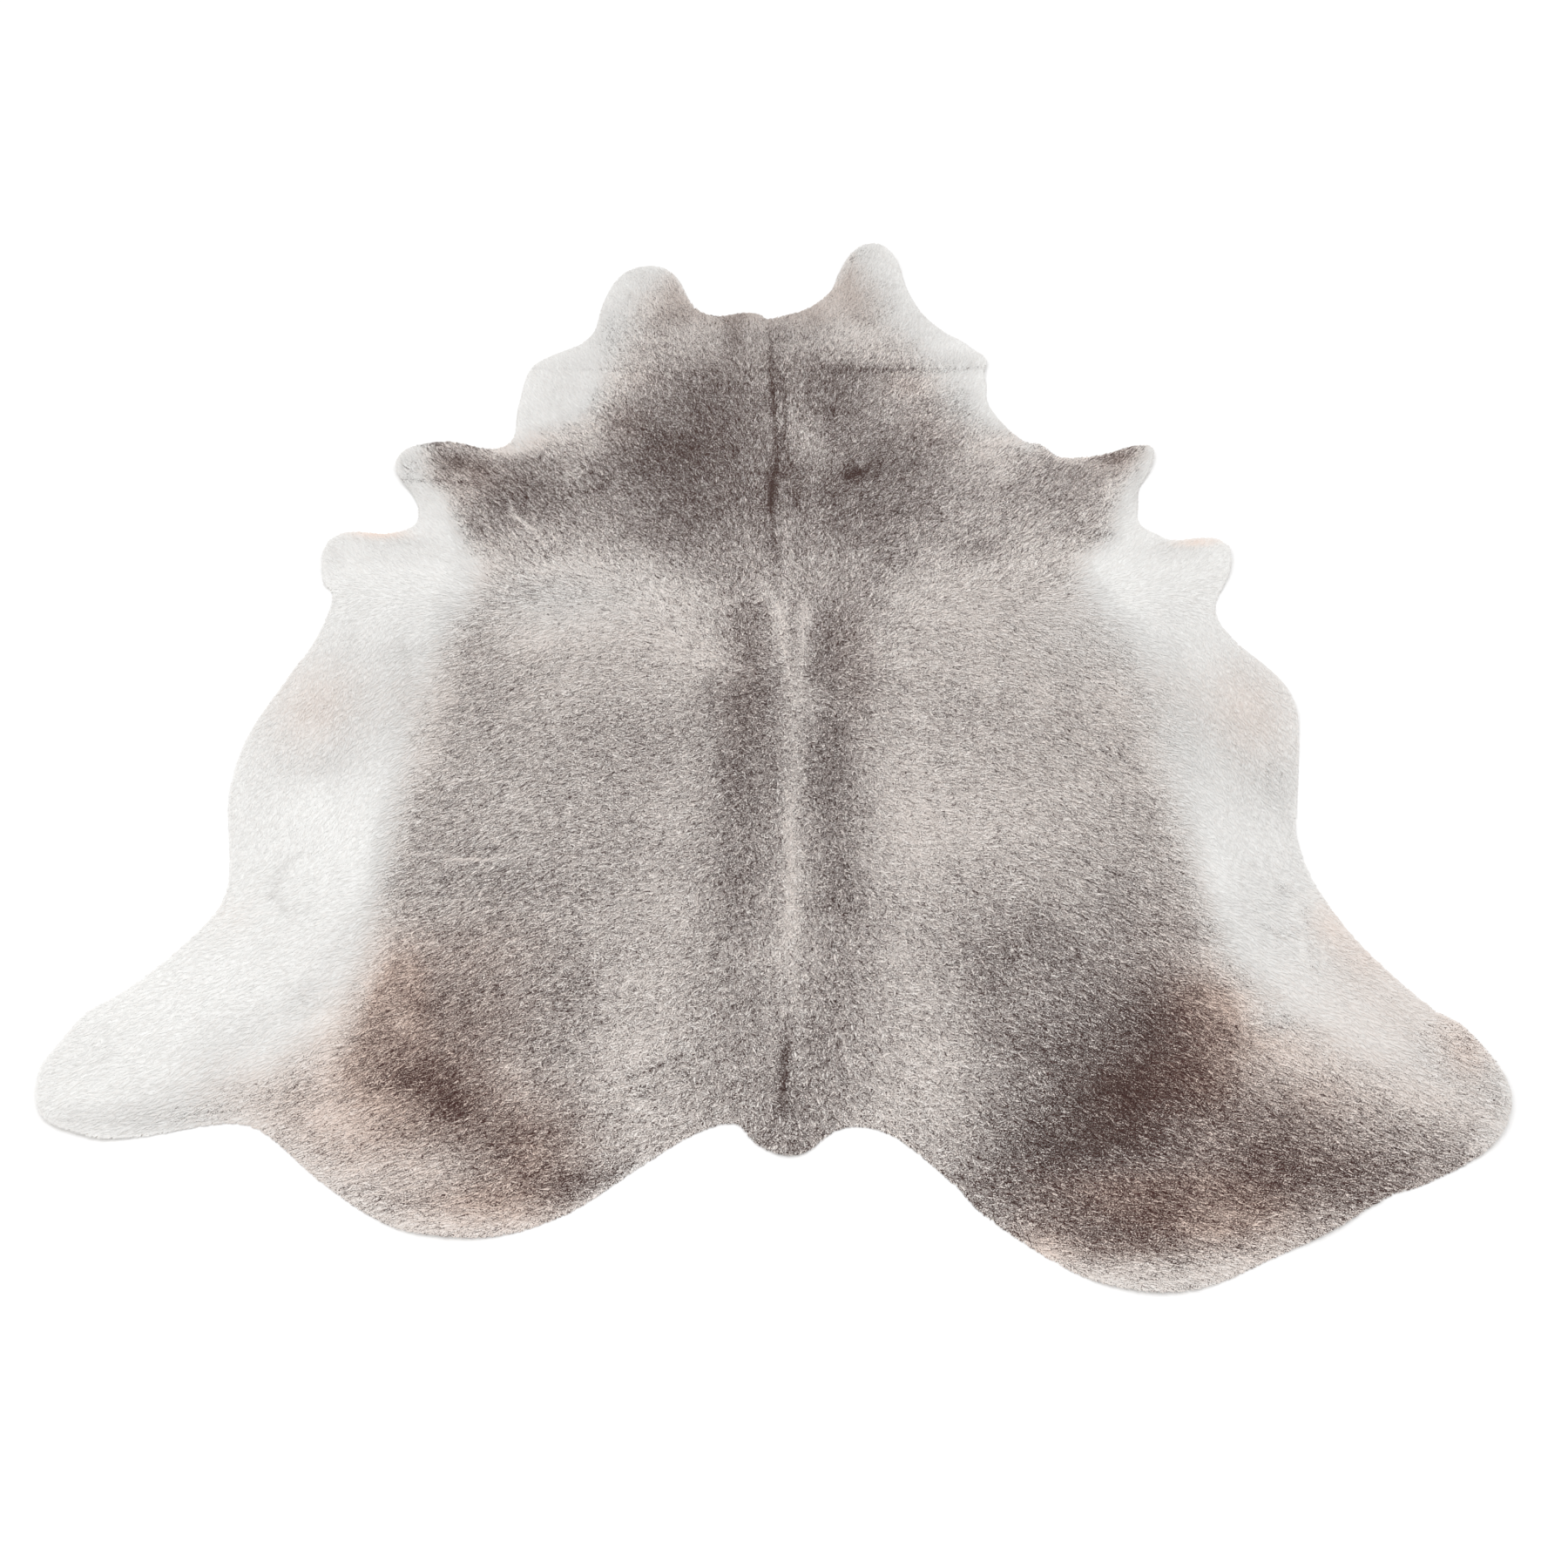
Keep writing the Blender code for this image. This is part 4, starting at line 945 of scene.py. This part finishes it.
def turned(way_x, way_y, spread, rng):
    """Directions turned at random, each by its own small angle in degrees."""
    turn = np.radians(rng.normal(0.0, spread, len(way_x)))
    c, s = np.cos(turn), np.sin(turn)
    return np.stack((way_x * c - way_y * s, way_x * s + way_y * c), 1)


def body_locks(sizes, edge, ground, rng):
    """The coat's locks: their roots, ways and lengths, and the heights of root, middle and tip."""
    roots = staggered_grid(sizes.spacing, sizes.spacing)
    roots = roots + rng.uniform(-0.48, 0.48, roots.shape) * sizes.spacing
    gap = beyond_edge(roots, edge)
    inside = gap < -EDGE_STRIP
    roots, gap = roots[inside], gap[inside]
    skin = heights(roots, ground)
    keep = np.isfinite(skin)
    roots, gap, skin = roots[keep], gap[keep], skin[keep]
    count = len(roots)
    across, along = on_hide(roots)
    way = turned(*hair_way(across, along), stray(across, along), rng)
    length = sizes.length * rng.uniform(*LENGTH_SPREAD, count)
    over = beyond_edge(roots + way * length[:, None], edge)
    allowed = sizes.fringe * rng.uniform(0.0, 1.0, count) ** 1.4
    spare = np.where(over > allowed, (over - allowed) / np.maximum(over - gap, 1e-6), 0.0)
    length = np.maximum(length * (1.0 - spare), SHORTEST_LOCK)
    ahead = heights(roots + way * length[:, None], ground)
    ahead = np.where(np.isfinite(ahead), ahead, skin)
    # The coat thins towards the edge, and the white hair is shorter and lies flatter.
    depth = sizes.depth * (0.72 + 0.28 * ease(-gap / (60.0 * MM))) * rng.uniform(*DEPTH_SPREAD, count)
    depth = depth * (1.0 - 0.65 * flatness(grey_level(across, along)))
    rise = depth * length / sizes.length
    middle = skin + LOCK_WIDEST * (ahead + rise - skin) - ROOT_DEPTH
    return roots, way, length, skin - ROOT_DEPTH, middle, ahead + rise


def fringe_locks(sizes, edge, ground, rng):
    """Short locks all along the cut edge that bend over it and cover it, given as the coat's are."""
    points, outward, _ = edge
    pick = rng.integers(0, len(points), int(FRINGE_LOCKS * len(points)))
    count = len(pick)
    out = outward[pick, :2]
    inset = rng.uniform(*FRINGE_INSET, count) * MM
    slip = rng.uniform(*FRINGE_SLIP, count) * MM
    sideways = np.stack((-out[:, 1], out[:, 0]), 1)
    roots = points[pick, :2] - out * inset[:, None] + sideways * slip[:, None]
    skin = heights(roots, ground)
    keep = np.isfinite(skin)
    roots, out, inset, skin, count = roots[keep], out[keep], inset[keep], skin[keep], int(keep.sum())
    flow = np.stack(hair_way(*on_hide(roots)), 1)
    way = out * 1.3 + flow
    way = way / np.linalg.norm(way, axis=1)[:, None]
    way = turned(way[:, 0], way[:, 1], 9.0, rng)
    length = (inset + rng.uniform(*FRINGE_REACH, count) * MM) / np.maximum((way * out).sum(1), 0.5)
    tip = skin + rng.uniform(*FRINGE_BEND, count) * MM
    middle = skin + rng.uniform(*FRINGE_RISE, count) * MM
    return roots, way, length, skin - 0.2 * MM, middle, tip


def make_band(name, corners, faces, material, fields):
    """Joins one band's locks into one mesh, with a flat map of their places."""
    count = len(corners)
    mesh = bpy.data.meshes.new(name)
    mesh.vertices.add(count * 4)
    mesh.vertices.foreach_set("co", corners.astype(np.float32).ravel())
    order = (faces[None] + 4 * np.arange(count)[:, None, None]).reshape(-1)
    mesh.loops.add(len(order))
    mesh.loops.foreach_set("vertex_index", order.astype(np.int32))
    mesh.polygons.add(count * 4)
    mesh.polygons.foreach_set("loop_start", np.arange(0, len(order), 3, dtype=np.int32))
    mesh.update(calc_edges=True)
    mesh.shade_flat()
    low, high = corners.reshape(-1, 3).min(0), corners.reshape(-1, 3).max(0)
    flat = (corners.reshape(-1, 3)[:, :2] - low[:2]) / (high[:2] - low[:2])
    layer = mesh.uv_layers.new(name="OFBake")
    layer.uv.foreach_set("vector", flat[order].astype(np.float32).ravel())
    for key, (kind, values) in fields.items():
        store(mesh, key, kind, values)
    mesh.materials.append(material)
    band = bpy.data.objects.new(name, mesh)
    bpy.context.collection.objects.link(band)
    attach(band, "root")
    return band


class HIDE_OT_coat(bpy.types.Operator):
    """Grows the coat on the leather, as closed locks of hair in bands from the rump to the neck"""

    bl_idname = "cowhide.coat"
    bl_label = "Grow the coat"

    def execute(self, context):
        sizes = context.scene.cowhide_coat
        leather = bpy.data.objects.get("leather")
        if leather is None:
            raise RuntimeError("the leather is laid before the coat is grown")
        under = underside_of(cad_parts["hide"])
        edge = edge_samples(under, 2.5 * MM)
        under.free()
        ground = BVHTree.FromObject(leather, context.evaluated_depsgraph_get())
        rng = np.random.default_rng(COAT_SEED)
        locks = [np.concatenate(pair) for pair in zip(
            body_locks(sizes, edge, ground, rng), fringe_locks(sizes, edge, ground, rng))]
        roots, way, length, root_z, middle_z, tip_z = locks
        count = len(roots)
        width = sizes.width * rng.uniform(*WIDTH_SPREAD, count)
        side = np.stack((-way[:, 1], way[:, 0]), 1) * (width * 0.5)[:, None]
        middle = roots + way * (length * LOCK_WIDEST)[:, None]
        corners = np.empty((count, 4, 3))
        corners[:, 0, :2], corners[:, 0, 2] = roots, root_z
        corners[:, 1, :2], corners[:, 1, 2] = middle + side, middle_z
        corners[:, 2, :2], corners[:, 2, 2] = middle - side, middle_z
        corners[:, 3, :2], corners[:, 3, 2] = roots + way * length[:, None], tip_z
        # A lock shows beyond its middle, where the next one leaves it bare, so its tone is that place's.
        across, along = on_hide(roots + way * (length * TONE_PLACE)[:, None])
        fade, share = coat_tones(across, along)
        fade = np.clip(fade + rng.normal(0.0, 0.05, count) * (fade > 0.05), 0.0, 1.0)
        limit = streak_limit(share, rng.normal(0.07, 0.7, count))
        warm = np.clip(warmth(across, along) + rng.uniform(-0.1, 0.1, count), 0.0, 1.0)
        strand = np.zeros((count, 4, 3))
        strand[:, 1, 0], strand[:, 2, 0] = -0.5 * width / MM, 0.5 * width / MM
        strand[:, 1, 1] = strand[:, 2, 1] = LOCK_WIDEST * length / MM
        strand[:, 3, 1] = length / MM
        strand[:, :, 2] = rng.uniform(0.0, 900.0, count)[:, None]
        hair = cow_hair(sizes)
        faces = np.array(((0, 3, 1), (0, 2, 3), (0, 1, 2), (1, 3, 2)))
        band = on_hide(roots)[1]
        for name, start, end in COAT_BANDS:
            pick = (band >= start) & (band < end)
            if not pick.any():
                raise RuntimeError(f"no lock of hair grew in {name}")
            make_band(name, corners[pick], faces, hair, {
                "fade": ("FLOAT", np.repeat(fade[pick], 4)), "limit": ("FLOAT", np.repeat(limit[pick], 4)),
                "warm": ("FLOAT", np.repeat(warm[pick], 4)),
                "strand": ("FLOAT_VECTOR", strand[pick].reshape(-1, 3))})
        return {"FINISHED"}


class HIDE_OT_stage(bpy.types.Operator):
    """Sets the pale floor, the soft light and the camera"""

    bl_idname = "cowhide.stage"
    bl_label = "Set the stage"

    def execute(self, context):
        sizes = context.scene.cowhide_stage
        deselect_all()
        bpy.ops.mesh.primitive_plane_add(size=sizes.floor_size, location=(0.0, 0.0, 0.0))
        floor = context.view_layer.objects.active
        floor.name = "floor"
        # A floor painted matt white.
        paint = new_material("matt white floor paint", {
            "Base Color": sizes.floor_colour, "Roughness": 0.9, "Specular IOR Level": 0.1})[0]
        floor.data.materials.append(paint)
        world = bpy.data.worlds.new("studio")
        world.use_nodes = True
        world.node_tree.nodes["Background"].inputs["Color"].default_value = (1.0, 1.0, 1.0, 1.0)
        world.node_tree.nodes["Background"].inputs["Strength"].default_value = sizes.daylight
        context.scene.world = world
        bpy.ops.object.light_add(type="AREA", location=(-1.2, -0.8, 4.2))
        box = context.view_layer.objects.active
        box.name = "soft_box"
        box.data.shape = "RECTANGLE"
        box.data.size, box.data.size_y = 7.0, 6.0
        box.data.energy = sizes.softbox
        box.rotation_euler = (Vector((0.0, 0.1, 0.0)) - box.location).to_track_quat("-Z", "Y").to_euler()
        distance = sizes.camera_height / math.tan(sizes.camera_tilt)
        bpy.ops.object.camera_add(
            location=(SPINE_X, AIM_Y - distance, sizes.camera_height),
            rotation=(math.pi / 2.0 - sizes.camera_tilt, 0.0, 0.0))
        camera = context.view_layer.objects.active
        camera.data.lens = sizes.camera_lens
        camera.data.sensor_width = 36.0
        context.scene.camera = camera
        context.scene.view_settings.view_transform = "Standard"
        deselect_all()
        return {"FINISHED"}


class HIDE_PT_panel(bpy.types.Panel):
    """Shows the rug's steps and their settings in the 3D view's sidebar"""

    bl_idname = "HIDE_PT_panel"
    bl_label = "Cowhide rug"
    bl_space_type = "VIEW_3D"
    bl_region_type = "UI"
    bl_category = "Cowhide"

    def draw(self, context):
        for step, group in STEPS:
            box = self.layout.box()
            box.operator(step.bl_idname)
            settings = getattr(context.scene, group)
            for name in type(settings).__annotations__:
                box.prop(settings, name)


STEPS = (
    (HIDE_OT_leather, "cowhide_leather"),
    (HIDE_OT_coat, "cowhide_coat"),
    (HIDE_OT_stage, "cowhide_stage"),
)
GROUPS = {"cowhide_leather": LeatherSizes, "cowhide_coat": CoatSizes, "cowhide_stage": StageSizes}


def register():
    """Registers the settings, the operators and the panel."""
    for name, group in GROUPS.items():
        bpy.utils.register_class(group)
        setattr(bpy.types.Scene, name, bpy.props.PointerProperty(type=group))
    for step, _ in STEPS:
        bpy.utils.register_class(step)
    bpy.utils.register_class(HIDE_PT_panel)


def unregister():
    """Takes out what register put in, last first."""
    bpy.utils.unregister_class(HIDE_PT_panel)
    for step, _ in reversed(STEPS):
        bpy.utils.unregister_class(step)
    for name, group in reversed(list(GROUPS.items())):
        delattr(bpy.types.Scene, name)
        bpy.utils.unregister_class(group)


def main():
    """Makes the rug and its stage."""
    register()
    bpy.ops.cowhide.leather()
    bpy.ops.cowhide.coat()
    bpy.ops.cowhide.stage()


if __name__ == "__main__":
    main()
